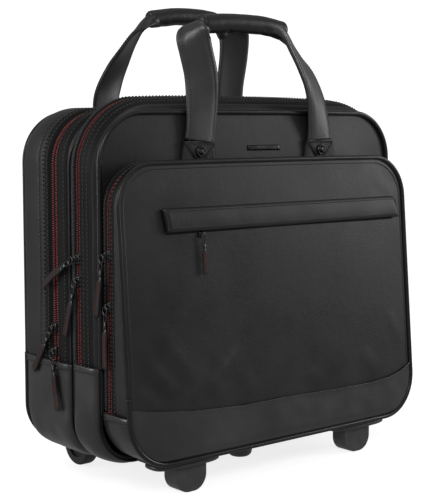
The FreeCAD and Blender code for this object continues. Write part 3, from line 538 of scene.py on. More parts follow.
def fold_lines(lines):
    """Soft ridges, each from one point to another on a panel."""
    def height(x, z):
        total = 0.0
        for x0, z0, x1, z1, width, tall in lines:
            d = Vector((x1 - x0, z1 - z0))
            t = max(0.0, min(1.0, ((x - x0) * d.x + (z - z0) * d.y) / d.length_squared))
            gap = math.hypot(x - x0 - d.x * t, z - z0 - d.y * t)
            total += 1.7 * tall * math.exp(-(gap / width) ** 2) * math.sin(math.pi * t) ** 0.5
        return total
    return height


FACE_FOLDS = fold_lines([
    (-190, 150, -150, 108, 7, 0.9), (-196, 128, -160, 100, 5, -0.7), (-170, 175, -120, 112, 9, 0.7),
    (-120, 130, -90, 96, 8, 0.6), (-60, 120, -48, 92, 8, 0.5), (120, 120, 150, 92, 9, 0.5),
    (170, 160, 196, 120, 7, 0.6), (30, 110, 60, 92, 7, 0.4), (-190, 300, -150, 322, 8, 0.5),
    (160, 322, 196, 290, 8, 0.5), (-84, 136, -129, 97, 4.5, 1.5), (-70, 146, -107, 103, 5, 1.2),
    (-97, 136, -122, 112, 4, -0.8)])

FACE = (206.0, 340.0, 39.5, 43.0, 47.0)
panel("pocket_face", FACE, lambda z: face_y(z) + 0.6, ["body", "lining"], "pocket_front", 5.0,
      low_of=lambda x: band_z(x) - 5, folds=FACE_FOLDS, thick=2.0, pad=0.4, nodes=["pocket_panel"])


def band():
    """The padded band across the foot of the pocket's face, which stays on the case."""
    foot = FACE[2]
    rows = []
    for v in np.linspace(0, 1, 26):
        row = []
        for u in np.linspace(-1, 1, 90):
            high = band_z(u * FACE[0])
            z = foot + (high - foot) * math.sin(v * math.pi / 2) ** 0.9
            p = (u * side_limit(z, *FACE), 0, z)
            lip = 1.1 * math.exp(-((high - z) / 3.0) ** 2)
            rise = (1 - abs(u) ** 8) * min(1.0, (z - foot) / 8)
            swell = 4.1 + 0.7 * ripple(p, 40, 6) + 0.4 * ripple(p, 16, 2)
            row.append([p[0], face_y(z) - 0.9 - rise * swell - lip * 0.4 + (1.4 if v == 1 else 0), z])
        rows.append(row)
    grid_mesh("pocket_band", np.array(rows), ["boot", "lining"], "case", (0, 300, 100), thick=2.0, pad=0.4,
              nodes=["pocket_boot"])


band()

panel("front_panel_skin", (210.0, 391.0, 60.0, 52.0, 30.0), lambda z: -46.6, ["body", "lining"],
      "front_section", 7.0, low_of=lambda x: 86.0, seed=5.0, thick=1.6, pad=0.4, nodes=["front_panel"])
panel("rear_panel_skin", (211.0, 391.0, 32.0, 52.0, 42.0), lambda z: 91.5, ["body", "lining"], "case", 2.6,
      seed=6.0, out=1, thick=1.6, pad=0.4, nodes=["rear_panel"])


# ---------------------------------------------------------------- tubes, stitches and zips
def frames_along(path):
    """Unit tangents of a polyline."""
    path = np.asarray(path, float)
    t = np.gradient(path, axis=0)
    return t / np.maximum(np.linalg.norm(t, axis=1, keepdims=True), 1e-9)


TUBE_SIDES = 8


def tube(name, path, radius, mat, body, **extra):
    """A round tube along a path, closed at both ends."""
    path = np.asarray(path, float)
    rings = []
    for p, t in zip(path, frames_along(path)):
        a = level((0, 1, 0), t)
        b = np.cross(t, a)
        rings.append([p + radius * (math.cos(w) * a + math.sin(w) * b) for w in round_angles(TUBE_SIDES)])
    faces = grid_faces(len(path), TUBE_SIDES, True, True) + caps(len(path), TUBE_SIDES)
    return add_mesh(name, np.array(rings).reshape(-1, 3), faces, [mat], body, **extra)


STITCH = [(-0.5, 0.25), (-0.3, 0.85), (0.0, 1.0), (0.3, 0.85), (0.5, 0.25)]


def stitch_row(store, path, out, pitch=4.4, length=2.7, radius=0.65):
    """Add the stitches of one seam to a store of vertices and faces. out is the way out of the surface."""
    verts, faces = store
    even = resample(path, pitch)
    for p, t in zip(even, frames_along(even)):
        n = level(out(p) if callable(out) else out, t)
        b = np.cross(t, n)
        start = len(verts)
        for s, w in STITCH:
            for ang in round_angles(5):
                away = b * math.cos(ang) + n * (math.sin(ang) + 0.35)
                verts.append(p + t * s * length + away * radius * w)
        faces += [tuple(start + v for v in f) for f in grid_faces(len(STITCH), 5, True)]
        faces += caps(len(STITCH), 5, True, start)


def stitches(name, seams, body, **sizes):
    """The stitches of several seams as one piece. A seam is its line and the way out of the surface."""
    store = ([], [])
    for path, out in seams:
        stitch_row(store, path, out, **sizes)
    return add_mesh(name, *store, ["thread"], body)


def on_lobe(lobe, section, y, low, y_of=None, lift=0.1):
    """A line over the top of a lobe, at one place of its section."""
    rows = catmull(section, 0.5)
    order = np.argsort(rows[:, 0])
    row = [float(np.interp(y, rows[order, 0], rows[order, k])) for k in range(1, 5)]
    return np.array([[x, y_of(y, z) if y_of else y, z] for x, z in lobe_path(lobe, "over", row, low, lift)])


def away_from(core):
    """Which way is out of a lobe at a point: sideways on its flanks, up over its top."""
    centre = CORE[core]

    def out(p):
        d = np.array(p) - centre
        if abs(p[0]) > 150 and p[2] < 340:
            return np.array([np.sign(p[0]), 0, 0.02])
        return np.array([d[0] * 0.25 if abs(p[0]) < 150 else d[0], 0, d[2]])
    return out


OVER_SEAMS = [
    ("rear_stitches", "case", REAR, REAR_GUSSET, "rear", BOOT_TOP, None, (39.4, 47.2, 53.6)),
    ("mid_stitches", "mid_section", REAR, MID_GUSSET, "rear", BOOT_TOP, None, (8.4, 21.0)),
    ("rim_stitches", "mid_section", FRONT, FRONT_RIM, "front", BOOT_TOP + 3, None, (-8.8,)),
    ("front_stitches", "front_section", FRONT, FRONT_GUSSET, "front", BOOT_TOP + 3, None,
     (-20.6, -27.6, -34.4)),
    ("pocket_rim_stitches", "front_section", POCKET, POCKET_RIM, "pocket", POCKET_BOOT_TOP, pocket_y,
     (-52.8,)),
    ("pocket_stitches", "pocket_front", POCKET, POCKET_GUSSET, "pocket", POCKET_BOOT_TOP, pocket_y,
     (-63.6, -71.0)),
]
for name, body, lobe, section, core, low, y_of, places in OVER_SEAMS:
    stitches(name, [(on_lobe(lobe, section, y, low, y_of), away_from(core)) for y in places], body)


TOOTH_PITCH = 2.4
TOOTH_STEP = TOOTH_PITCH / 4


def tooth(i, phase=0.0):
    """How far a zip's row stands up as a tooth at one of its steps, from 0 to 1."""
    return 0.5 - 0.5 * math.cos(TURN * (i * TOOTH_STEP / TOOTH_PITCH + phase))


def coil(name, body, lobe, section, y_edge, toward, low, core, nodes, y_of, width, phase):
    """One row of a zip's teeth on its tape: ribs that stand up beside the zip's middle line."""
    middle = resample(on_lobe(lobe, section, y_edge, low, y_of, lift=0.0), TOOTH_STEP)
    out = away_from(core)
    rows = []
    teeth = []
    for i, p in enumerate(middle):
        n = unit(out(p))
        teeth.append(tooth(i, phase))
        high = 0.3 + 1.5 * teeth[-1]
        rows.append([p + np.array([0, toward * s * width, 0])
                     + n * (math.sin(math.pi * min(1, 0.15 + 0.85 * s)) ** 0.6 * high - 0.2)
                     for s in np.linspace(0, 1, 6)])
    pts = np.array(rows)
    faces = grid_faces(len(pts), 6, False, not facing_out(pts, CORE[core]))
    marks = [0 if teeth[i] + teeth[i + 1] > 0.7 else 1 for i in range(len(pts) - 1) for _ in range(5)]
    return add_mesh(name, pts.reshape(-1, 3), faces, ["coil", "tape"], body, marks, nodes=nodes)


ZIPS = [
    ("rear_zip_front_row", "mid_section", REAR, MID_GUSSET, 29.3, -1, BOOT_TOP, "rear",
     "rear_zip_tape_front"),
    ("rear_zip_back_row", "case", REAR, REAR_GUSSET, 31.4, 1, BOOT_TOP, "rear", "rear_zip_tape_back"),
    ("middle_zip_back_row", "mid_section", FRONT, FRONT_RIM, -13.8, 1, BOOT_TOP + 3, "front",
     "middle_zip_tape_back"),
    ("middle_zip_front_row", "front_section", FRONT, FRONT_GUSSET, -15.3, -1, BOOT_TOP + 3, "front",
     "middle_zip_tape_front"),
    ("front_zip_back_row", "front_section", POCKET, POCKET_RIM, -57.4, 1, POCKET_BOOT_TOP, "pocket",
     "front_zip_tape_back"),
    ("front_zip_front_row", "pocket_front", POCKET, POCKET_GUSSET, -58.9, -1, POCKET_BOOT_TOP, "pocket",
     "front_zip_tape_front"),
]
for name, body, lobe, section, y, toward, low, core, node in ZIPS:
    coil(name, body, lobe, section, y, toward, low, core, [node], pocket_y if lobe is POCKET else None,
         4.6 if lobe is REAR else 2.9, 0.0 if toward > 0 else 0.5)


# ---------------------------------------------------------------- piping
BEADS_MEET = 110  # height where the pocket's bead and the bead on its foot meet


def beads():
    """Round piping along the edges of the lobes."""
    def face_line(z):
        return face_y(z) + 0.6

    foot = POCKET["base"] + 1.6
    edges = [
        ("front_panel_bead", "front_section", over_path(209.4, 392.2, 134, 53, 1.5), -47.9, 2.9,
         ["front_panel_piping"]),
        ("pocket_bead", "pocket_front", over_path(207.4, 341.0, BEADS_MEET, 44.5, 1.0), face_line, 2.7,
         ["pocket_piping"]),
        ("pocket_foot_bead", "case", under_path(207.4, BEADS_MEET, 37.6, 48.5), face_line, 2.7, []),
        ("rear_bead", "case", over_path(210.6, 391.0, 131, 52, 1.0), 90.6, 2.3, []),
        ("rear_foot_bead", "case", under_path(211.4, 132, 32.0, 44), 90.4, 2.4, [])]
    for name, y, inset, high, lobe in (("rear_boot_bead", 3.0, 4.0, BOOT_TOP, REAR),
                                       ("front_boot_bead_back", -3.2, 4.2, BOOT_TOP + 2, FRONT),
                                       ("front_boot_bead_front", -45.8, 4.6, BOOT_TOP + 2, FRONT)):
        edges.append((name, "case", under_path(lobe["half"] - inset, high, lobe["base"] + inset, 45), y, 1.7,
                      []))
    edges.append(("pocket_boot_bead", "case",
                  under_path(POCKET["half"] - 1.4, POCKET_BOOT_TOP - 1, foot, 47), -49.4, 1.5, []))
    for name, body, outline, y, radius, nodes in edges:
        path = [[x, y(z) if callable(y) else y, z] for x, z in outline]
        tube(name, path, radius, "piping", body, nodes=nodes)
    for name, body, y, lobe, section, low in (
            ("mid_seam_bead", "mid_section", 3.4, REAR, MID_GUSSET, BOOT_TOP),
            ("rim_seam_bead", "mid_section", -3.4, FRONT, FRONT_RIM, BOOT_TOP + 2)):
        tube(name, on_lobe(lobe, section, y, low), 1.3, "piping", body)


beads()


# ---------------------------------------------------------------- foot plates
PLATE_PLACE, PLATE_Y = 127, -76
PLATE_LAYERS = ((28.6, 1.4), (29.8, 0.0), (32.2, 0.0), (33.4, 1.0))


def foot_plate(side, sign):
    """A flat plate with round ends, under the pocket and over a front foot."""
    points = []
    for z, inset in PLATE_LAYERS:
        for a in round_angles(48):
            c, d = math.cos(a), math.sin(a)
            points.append((sign * PLATE_PLACE + math.copysign((43 - inset) * abs(c) ** 0.6, c),
                           PLATE_Y + math.copysign((18 - inset) * abs(d) ** 0.6, d), z))
    faces = grid_faces(len(PLATE_LAYERS), 48, True) + caps(len(PLATE_LAYERS), 48, True)
    add_mesh("front_foot_plate_" + side, points, faces, ["plastic"], "case")


for side, sign in SIDES:
    foot_plate(side, sign)


# ---------------------------------------------------------------- boot bindings
# the profile of a folded edge: height from the edge, and how far it stands out
BINDING = [(-7.5, -0.3), (-7.1, 0.75), (-3.75, 0.9), (-0.9, 0.85), (0.3, 0.3), (0.5, -0.8), (0.2, -2.0),
           (-1.0, -2.4)]


def binding(name, lobe, section, high, y_of=None):
    """The folded top edge of a boot, with its two rows of stitches."""
    rows = catmull(section, 1.2)
    rows = rows[(rows[:, 0] > section[0][0] + 1) & (rows[:, 0] < section[-1][0] - 1)]
    seams = []
    for side, sign in SIDES:
        pts = [[[sign * (lobe["half"] - row[1] + lift), y_of(row[0], high + dz) if y_of else row[0],
                 high + dz] for dz, lift in BINDING] for row in rows]
        grid_mesh("%s_%s" % (name, side), np.array(pts), ["boot"], "case",
                  (0, float(rows[:, 0].mean()), high - 30))
        for dz in (-2.0, -5.6):
            seams.append((np.array([[sign * (lobe["half"] - r[1] + 1.0), y_of(r[0], high) if y_of else r[0],
                                     high + dz] for r in rows]), (sign, 0, 0)))
    stitches(name + "_stitches", seams, "case", pitch=3.0, length=2.2, radius=0.5)


binding("rear_boot_binding", REAR, REAR_BOOT, BOOT_TOP)
binding("front_boot_binding", FRONT, FRONT_BOOT, BOOT_TOP + 2.5)
binding("pocket_boot_binding", POCKET, POCKET_BOOT, POCKET_BOOT_TOP, pocket_y)


# ---------------------------------------------------------------- flap over the pocket's own zip
FLAP = dict(left=-156.5, right=191.0, base=270.5, top=295.0)
FLAP_LEAN = 4.0  # how far each end slants from top to base
FLAP_PROFILE = [(0.0, 0.2), (0.02, 1.6), (0.08, 2.7), (0.2, 3.0), (0.4, 3.6), (0.6, 3.9), (0.8, 3.9),
                (0.93, 3.7), (0.985, 2.9), (1.0, 1.6), (0.985, 0.6)]
SEAM_OUT = 6.6  # the flap's stitches, from the pocket face
SLOT_Z = FLAP["base"] - 0.1


def flap():
    """The welt flap, its stitches, and the two tapes of the zip under it."""
    rows = []
    for u in np.linspace(0, 1, 100):
        row = []
        for v, out in FLAP_PROFILE:
            z = FLAP["top"] + (FLAP["base"] - FLAP["top"]) * v
            x0 = FLAP["left"] - FLAP_LEAN * (1 - v) + FLAP_LEAN
            x1 = FLAP["right"] - FLAP_LEAN + 2 * FLAP_LEAN * v
            x = x0 + (x1 - x0) * u
            end = min(1.0, min(u, 1 - u) * (x1 - x0) / 3.0)
            swell = 1 - (1 - end) ** 2
            y = face_y(z) - 3.2 - out * swell - 0.3 * ripple((x, 0, z), 30, 8)
            row.append([x, y, z - 0.5 * (1 - swell)])
        rows.append(row)
    grid_mesh("pocket_flap_skin", np.array(rows), ["body", "lining"], "pocket_front", (20, 300, 283),
              thick=1.2, pad=0.3, nodes=["pocket_flap"])
    seams = []
    for z, a, b in ((FLAP["top"] - 3.0, -153, 185), (FLAP["base"] + 4.5, -152, 188)):
        seams.append((np.array([[x, face_y(z) - SEAM_OUT, z] for x in np.linspace(a, b, 40)]), (0, -1, 0)))
    for x, slant in ((-152.5, 1), (186.0, 4)):
        seams.append((np.array([[x + slant * t, face_y(290 - 16 * t) - SEAM_OUT, 290 - 16 * t]
                                for t in np.linspace(0, 1, 6)]), (0, -1, 0)))
    stitches("flap_stitches", seams, "pocket_front", pitch=3.2, length=2.4, radius=0.5)
    for name, sign in (("lower", -1), ("upper", 1)):
        rows = [[[x, face_y(SLOT_Z) - 3.2 - math.sin(math.pi * s) * (0.5 + 0.4 * tooth(i)),
                  SLOT_Z + sign * s * 1.8] for s in np.linspace(0, 1, 6)]
                for i, x in enumerate(np.arange(-150, 183, TOOTH_STEP))]
        grid_mesh("flap_zip_" + name, np.array(rows), ["tape"], "pocket_front", (0, 300, 270))


flap()


# ---------------------------------------------------------------- handles
STRAP_HALF = 2.3  # half the thickness of a strap


def strap_mesh(name, control, mat, body, nodes):
    """A padded strap that twists from its foot, folds round the grip and comes down to its other foot.

    Each control row is x, y, z, the outward way (3), the fold in radians and the width. It gives back
    the rows of the strap and the lines of its two edge seams.
    """
    rows = spline(control, lambda b, c: max(4, int(np.linalg.norm(c[:3] - b[:3]) / 2.2)))
    rings, edges = [], [[], []]
    for row, t in zip(rows, frames_along(rows[:, :3])):
        n = level(row[3:6], t)
        b = np.cross(t, n)
        fold = max(0.05, row[6])
        rho = row[7] / fold

        def at(radius, s):
            ang = s * fold / 2
            return row[:3] + b * radius * math.sin(ang) + n * (radius * math.cos(ang) - rho)

        outer, inner = [], []
        for s in np.linspace(-1, 1, 21):
            edge = (1 - abs(s) ** 10) ** 0.5 if abs(s) < 1 else 0.0
            swell = 0.8 * (1 - min(1, abs(s) / 0.68) ** 8)
            outer.append(at(rho + STRAP_HALF * edge + swell, s))
            if abs(s) < 1:
                inner.append(at(rho - STRAP_HALF * edge, s))
        rings.append(outer + inner[::-1])
        for line, s in zip(edges, (-0.76, 0.76)):
            line.append(at(rho + STRAP_HALF * 0.95, s))
    rings = np.array(rings)
    count, cols = rings.shape[:2]
    faces = grid_faces(count, cols, True, True) + caps(count, cols)
    add_mesh(name, rings.reshape(-1, 3), faces, [mat], body, pad=0.6, nodes=nodes)
    return rows, edges


GRIP_RADIUS = 10.2


def grip_mesh(name, path, body, nodes, seed):
    """The rolled grip: a soft tube with a seam under it and creases across it."""
    path = catmull(path, 1.6)
    rings = []
    count = len(path)
    for i, (p, t) in enumerate(zip(path, frames_along(path))):
        u = level((0, 0, 1), t)
        b = np.cross(t, u)
        end = min(i, count - 1 - i)
        near = 0.86 + 0.14 * min(1.0, end / 2.0) ** 0.5
        ring = []
        for a in round_angles(40):
            under = max(0.0, -math.sin(a))
            r = GRIP_RADIUS * near
            q = p + b * math.cos(a) * r + u * math.sin(a) * r
            crease = ripple((q[0] * 2.2, q[1], q[2] * 0.6), 16, seed) * 0.9 * (0.12 + under)
            seam = -1.1 * math.exp(-((a - 1.5 * math.pi) / 0.10) ** 2)
            r += crease + seam + 0.10 * ripple(q, 7, seed)
            ring.append(p + b * math.cos(a) * r * 0.95 + u * math.sin(a) * r)
        rings.append(ring)
    faces = grid_faces(count, 40, True) + caps(count, 40, True)
    add_mesh(name, np.array(rings).reshape(-1, 3), faces, ["handle"], body, pad=0.8, nodes=nodes)


GRIP_Y = -57.8  # the plane of the front grip
FRONT_STRAP = [
    (-85.0, -53.3, 361.2, 0, -1, 0, 0.15, 40), (-83.5, -54.2, 374, 0, -1, 0, 0.2, 40),
    (-82.5, -55.6, 402, -0.12, -1, 0, 0.22, 40), (-85.5, -57.2, 430, -0.3, -0.95, 0.03, 0.25, 38),
    (-92.5, GRIP_Y, 454, -0.4, -0.9, 0.1, 0.3, 37), (-96.0, GRIP_Y, 469, -0.45, -0.8, 0.35, 0.5, 37),
    (-92, GRIP_Y, 480, -0.3, -0.4, 0.85, 2.0, 32), (-82, GRIP_Y, 485.5, -0.1, -0.1, 1, 4.6, 30),
    (-60, GRIP_Y, 489.5, 0, 0, 1, 5.2, 34), (-34, GRIP_Y, 490.5, 0, 0, 1, 5.2, 34),
    (-5, GRIP_Y, 490, 0, 0, 1, 5.2, 34), (16, GRIP_Y, 487.5, 0.15, 0, 1, 4.6, 34),
    (30, GRIP_Y, 479, 0.4, -0.3, 0.85, 2.4, 34), (44, GRIP_Y, 463, 0.5, -0.6, 0.55, 1.0, 36),
    (59, -57.6, 445, 0.52, -0.75, 0.35, 0.6, 38), (74, -57.0, 426, 0.42, -0.88, 0.16, 0.45, 38),
    (85, -55.6, 402, 0.25, -0.96, 0.06, 0.35, 38), (90.5, -54.2, 376, 0.08, -1, 0, 0.25, 38),
    (91.5, -53.3, 361.2, 0, -1, 0, 0.15, 38)]
FRONT_GRIP = [(x, GRIP_Y, z) for x, z in ((-87, 482.0), (-60, 484.5), (-30, 485.4), (0, 484.6),
                                        (29, 480.5))]
REAR_STRAP = [
    (-90, 98.2, 361.2, 0, 1, 0, 0.15, 40), (-95, 98.4, 380, -0.06, 1, 0, 0.2, 40),
    (-98.5, 98.8, 405, -0.16, 0.98, 0, 0.25, 40), (-88, 99.2, 432, -0.34, 0.92, 0.12, 0.35, 40),
    (-74, 99.6, 455, -0.45, 0.8, 0.3, 0.5, 38), (-58, 99.8, 479, -0.45, 0.6, 0.6, 0.9, 36),
    (-42, 99.6, 497, -0.35, 0.2, 0.9, 2.8, 32), (-25, 99.2, 505.5, 0, 0, 1, 5.0, 32),
    (16, 99, 509.6, 0, 0, 1, 5.2, 34), (42, 99, 509.4, 0, 0, 1, 5.2, 34),
    (62, 99, 507.4, 0.15, 0, 1, 4.8, 32), (81, 99.4, 502, 0.35, 0.4, 0.85, 1.6, 36),
    (93, 99.6, 488, 0.3, 0.9, 0.3, 0.5, 40),
    (93, 99.4, 462, 0.2, 0.96, 0.05, 0.3, 40), (87, 99.0, 425, 0.1, 0.98, 0, 0.25, 40),
    (86, 98.4, 388, 0.03, 1, 0, 0.2, 40), (88.4, 98.2, 361.2, 0, 1, 0, 0.15, 40)]
REAR_GRIP = [(-35, 99.4, 499.5), (-5, 99, 504), (16, 99, 505.4), (42, 99, 505.2), (64, 99.2, 503)]


def nearest(line, values):
    """The value that goes with the point of a line nearest to a place."""
    return lambda p: values[int(np.argmin(np.linalg.norm(line - p, axis=1)))]


def handle(name, strap, grip, mat, seed):
    """A strap with its rolled grip, and stitches along the strap's edges where it lies open."""
    rows, edges = strap_mesh(name + "_strap", strap, mat, name, [name + "_straps"])
    grip_mesh(name + "_grip_cover", grip, name, [name + "_grip"], seed)
    is_open = rows[:, 6] < 2.6
    cut = int(np.argmin(is_open))
    last = len(is_open) - int(np.argmin(is_open[::-1]))
    outs = rows[:, 3:6]
    seams = [(line[part], nearest(line[part], outs[part]))
             for line in map(np.array, edges) for part in (slice(None, cut), slice(last, None))]
    stitches(name + "_stitches", seams, name, pitch=3.4, length=2.6, radius=0.6)


# the front strap takes the lighter, painted-lit copy of the handle leather; its grip keeps the plain handle
# leather
handle("front_handle", FRONT_STRAP, FRONT_GRIP, "strap", 2.0)
handle("rear_handle", REAR_STRAP, REAR_GRIP, "handle", 4.0)


# ---------------------------------------------------------------- handle anchors and rivets
def disc(name, centre, axis_sign, profile, mat, body, nodes):
    """A turned piece whose axis lies along Y: profile rows are radius and distance out."""
    sides = 28
    rings = []
    for r, out in profile:
        rings.append([[centre[0] + r * math.cos(a), centre[1] + axis_sign * out, centre[2] + r * math.sin(a)]
                      for a in round_angles(sides)])
    pts = np.array(rings)
    faces = grid_faces(len(profile), sides, True, axis_sign > 0)
    cap = tuple((len(profile) - 1) * sides + k for k in range(sides))
    faces.append(cap if axis_sign < 0 else cap[::-1])
    return add_mesh(name, pts.reshape(-1, 3), faces, [mat], body, nodes=nodes)


RIVET = [(6.2, 0.0), (6.2, 1.2), (5.7, 1.9), (4.9, 2.1), (4.2, 1.7), (3.9, 1.2), (3.6, 1.2), (3.5, 1.8),
         (2.8, 2.5), (1.5, 2.85), (0.3, 2.95)]


ANCHOR_X, RIVET_Z = 88.4, 350.5
ANCHOR_LOW, ANCHOR_HIGH = 338.5, 361.5


def anchor(prefix, side, sign, y, out, body, shift=0.0, rise=2.0):
    """The stitched patch that holds one end of a strap: a folded square with a pointed flap and a rivet."""
    x0 = sign * ANCHOR_X + shift
    low, high = ANCHOR_LOW, ANCHOR_HIGH
    first = sign < 0  # the left patch and rivet stand for both
    rows = []
    for v in np.linspace(0, 1, 16):
        z = low + (high - low) * v
        half = 24.5 - 3.5 * v
        row = []
        for u in np.linspace(-1, 1, 34):
            x = u * half
            flap_half = 21.0 * (z - low + 1.5) / (high - low)
            raised = 1.0 / (1.0 + math.exp((abs(x) - flap_half) * 1.6))
            edge = min(1.0, (1 - abs(u)) * 9) ** 0.5 if abs(u) < 1 else 0.0
            top_lip = math.exp(-((high - z) / 1.6) ** 2) * 0.8
            depth = edge * (rise + 1.1 * raised + top_lip + 0.15 * ripple((x, 0, z), 6, 3))
            row.append([x0 + x, y + out * depth, z])
        rows.append(row)
    grid_mesh("%s_anchor_%s" % (prefix, side), np.array(rows), ["handle"], body, (x0, y - out * 200, 350),
              thick=1.2, pad=0.3, nodes=[prefix + "_plates"] if first else [])
    lines = []
    for s in (-1, 1):
        lines.append([[x0 + s * (19.5 * t + 0.5), y + out * (rise + 1.2), low + 1 + (high - low - 3) * t]
                      for t in np.linspace(0.08, 0.96, 12)])
        lines.append([[x0 + s * (22.4 - 3.0 * t), y + out * (rise + 0.1), low + 1 + (high - low - 2) * t]
                      for t in np.linspace(0.05, 0.95, 12)])
    lines.append([[x0 + t, y + out * (rise + 1.5), high - 3.0] for t in np.linspace(-18, 18, 12)])
    seams = [(np.array(line), (0, out, 0)) for line in lines]
    stitches("%s_anchor_stitches_%s" % (prefix, side), seams, body, pitch=2.8, length=2.0, radius=0.5)
    spot = (x0, y + out * (rise + 1.0), RIVET_Z)
    disc("%s_rivet_cap_%s" % (prefix, side), spot, out, RIVET, "rivet", body,
         nodes=[prefix + "_rivets"] if first else [])


for side, sign in SIDES:
    anchor("front_handle", side, sign, -49.6, -1, "front_section", 3.0, 4.8)
    anchor("rear_handle", side, sign, 93.4, 1, "case")


# ---------------------------------------------------------------- plain bar in place of lettering
def bar():
    """A low bar with soft edges on the front panel."""
    rows = []
    for u in np.linspace(0, 1, 24):
        row = []
        for v in np.linspace(0, 1, 10):
            edge = min(1.0, min(u, 1 - u) * 18, min(v, 1 - v) * 5)
            row.append([-15 + 48 * u, -50.6 - 1.5 * math.sqrt(max(0, edge)), 350.5 + 6 * v])
        rows.append(row)
    grid_mesh("plain_bar", np.array(rows), ["hardware"], "front_section", (0, 200, 354), thick=0.5)


bar()


# ---------------------------------------------------------------- sliders and pullers
def add_faces(store, faces, mat):
    store[1].extend(faces)
    store[2].extend([mat] * len(faces))


def boxy(store, x0, x1, y0, y1, z0, z1, soft, mat):
    """A softened block in a store of vertices, faces and face materials."""
    verts = store[0]
    start = len(verts)
    cx, cy, cz = (x0 + x1) / 2, (y0 + y1) / 2, (z0 + z1) / 2
    hx, hy, hz = (x1 - x0) / 2, (y1 - y0) / 2, (z1 - z0) / 2
    n = 4
    ring = []
    for layer, inset in ((-1, soft), (-1, 0.0), (1, 0.0), (1, soft)):
        d = hx - (soft * 0.6 if inset == 0.0 else 0.0)
        for corner_y, corner_z, base in ((1, 1, 0), (-1, 1, 1), (-1, -1, 2), (1, -1, 3)):
            for k in range(n):
                a = (base + k / (n - 1)) * math.pi / 2
                r = max(0.05, soft * 1.6 - inset * 0.6)
                y = corner_y * (hy - soft * 1.6) + r * math.cos(a)
                z = corner_z * (hz - soft * 1.6) + r * math.sin(a)
                ring.append((cx + layer * d, cy + y, cz + z))
    verts.extend(np.array(p) for p in ring)
    cols = 4 * n
    add_faces(store, [tuple(start + v for v in f) for f in grid_faces(4, cols, True)], mat)
    add_faces(store, caps(4, cols, True, start), mat)


def ring_loop(store, path, radius, mat, closed=True):
    """A wire along a path, closed into a ring or open, in the same kind of store."""
    sides = 7
    verts = store[0]
    start = len(verts)
    path = np.asarray(path, float)
    count = len(path)
    for i in range(count):
        before, after = (i - 1, (i + 1) % count) if closed else (max(i - 1, 0), min(i + 1, count - 1))
        t = unit(path[after] - path[before])
        a = unit(np.cross(t, (1.0, 0, 0) if abs(t[0]) < 0.9 else (0, 1.0, 0)))
        b = np.cross(t, a)
        for w in round_angles(sides):
            verts.append(path[i] + radius * (a * math.cos(w) + b * math.sin(w)))
    quads = grid_faces(count + 1 if closed else count, sides, True)
    add_faces(store, [tuple(start + v % (count * sides) for v in f) for f in quads], mat)


def oval(cx, cy, cz, ry, rz):
    return [(cx, cy + ry * math.cos(a), cz + rz * math.sin(a)) for a in round_angles(22)]


def slider_store():
    """A slider lying against a zip: outwards is -X, and it pulls along Z."""
    store = ([], [], [])
    boxy(store, -2.0, 0.6, -3.9, 3.9, -5.2, 5.2, 1.0, 0)
    boxy(store, -3.0, -1.6, -2.4, 2.4, -3.8, 4.4, 0.6, 0)
    arch = [(-2.6 - 2.6 * math.sin(a), 0.0, -3.4 * math.cos(a)) for a in np.linspace(0, math.pi, 13)]
    ring_loop(store, arch, 0.95, 0, closed=False)
    return store


TAB_TOP, TAB_LENGTH = -25.0, 38.0


def puller_store(bend):
    """A puller that hangs from its ring: ring, link, crimped end and a leather tab with stitches."""
    store = ([], [], [])
    ring_loop(store, oval(-0.4, 0, -3.4, 3.6, 4.4), 0.9, 0)
    ring_loop(store, oval(0.0, 0, -11.2, 2.2, 4.6), 0.85, 0)
    boxy(store, -1.5, 1.5, -2.5, 2.5, -22.5, -14.2, 0.9, 0)
    boxy(store, -1.1, 1.1, -2.9, 2.9, -27.5, -21.5, 0.8, 0)

    def drift(s):
        return bend * s * s + 0.5 * math.sin(s * 5.0)

    verts = store[0]
    start = len(verts)
    rows, cols = 26, 14
    for s in np.linspace(0, 1, rows):
        half = 3.9 - 0.7 * math.exp(-(s / 0.08) ** 2) + 0.15 * math.sin(s * 9)
        thick = (1.5 - 0.25 * s) * min(1.0, (1 - s) * 12 + 0.55)
        for a in round_angles(cols):
            c, w = math.cos(a), math.sin(a)
            verts.append(np.array([thick * np.sign(w) * abs(w) ** 0.6 + drift(s) * 0.3,
                                   half * np.sign(c) * abs(c) ** 0.5 + drift(s), TAB_TOP - TAB_LENGTH * s]))
    add_faces(store, [tuple(start + v for v in f) for f in grid_faces(rows, cols, True, True)], 1)
    add_faces(store, caps(rows, cols, False, start), 1)
    seam = ([], [])
    for y in (-2.3, 2.3):
        line = [[-(1.5 - 0.25 * s) * 0.94 + drift(s) * 0.3, y + drift(s), TAB_TOP - TAB_LENGTH * s]
                for s in np.linspace(0.1, 0.94, 20)]
        stitch_row(seam, line, (-1, 0, 0), pitch=2.7, length=2.0, radius=0.38)
    start = len(verts)
    verts.extend(seam[0])
    add_faces(store, [tuple(start + v for v in f) for f in seam[1]], 2)
    return store


def put(name, store, mats, matrix, body, nodes):
    """A stored shape, moved to its place, as a piece."""
    verts = [matrix @ Vector(v) for v in store[0]]
    return add_mesh(name, verts, store[1], mats, body, store[2], nodes=nodes)


PULLER_MATS = ["hardware", "tab", "red_thread"]
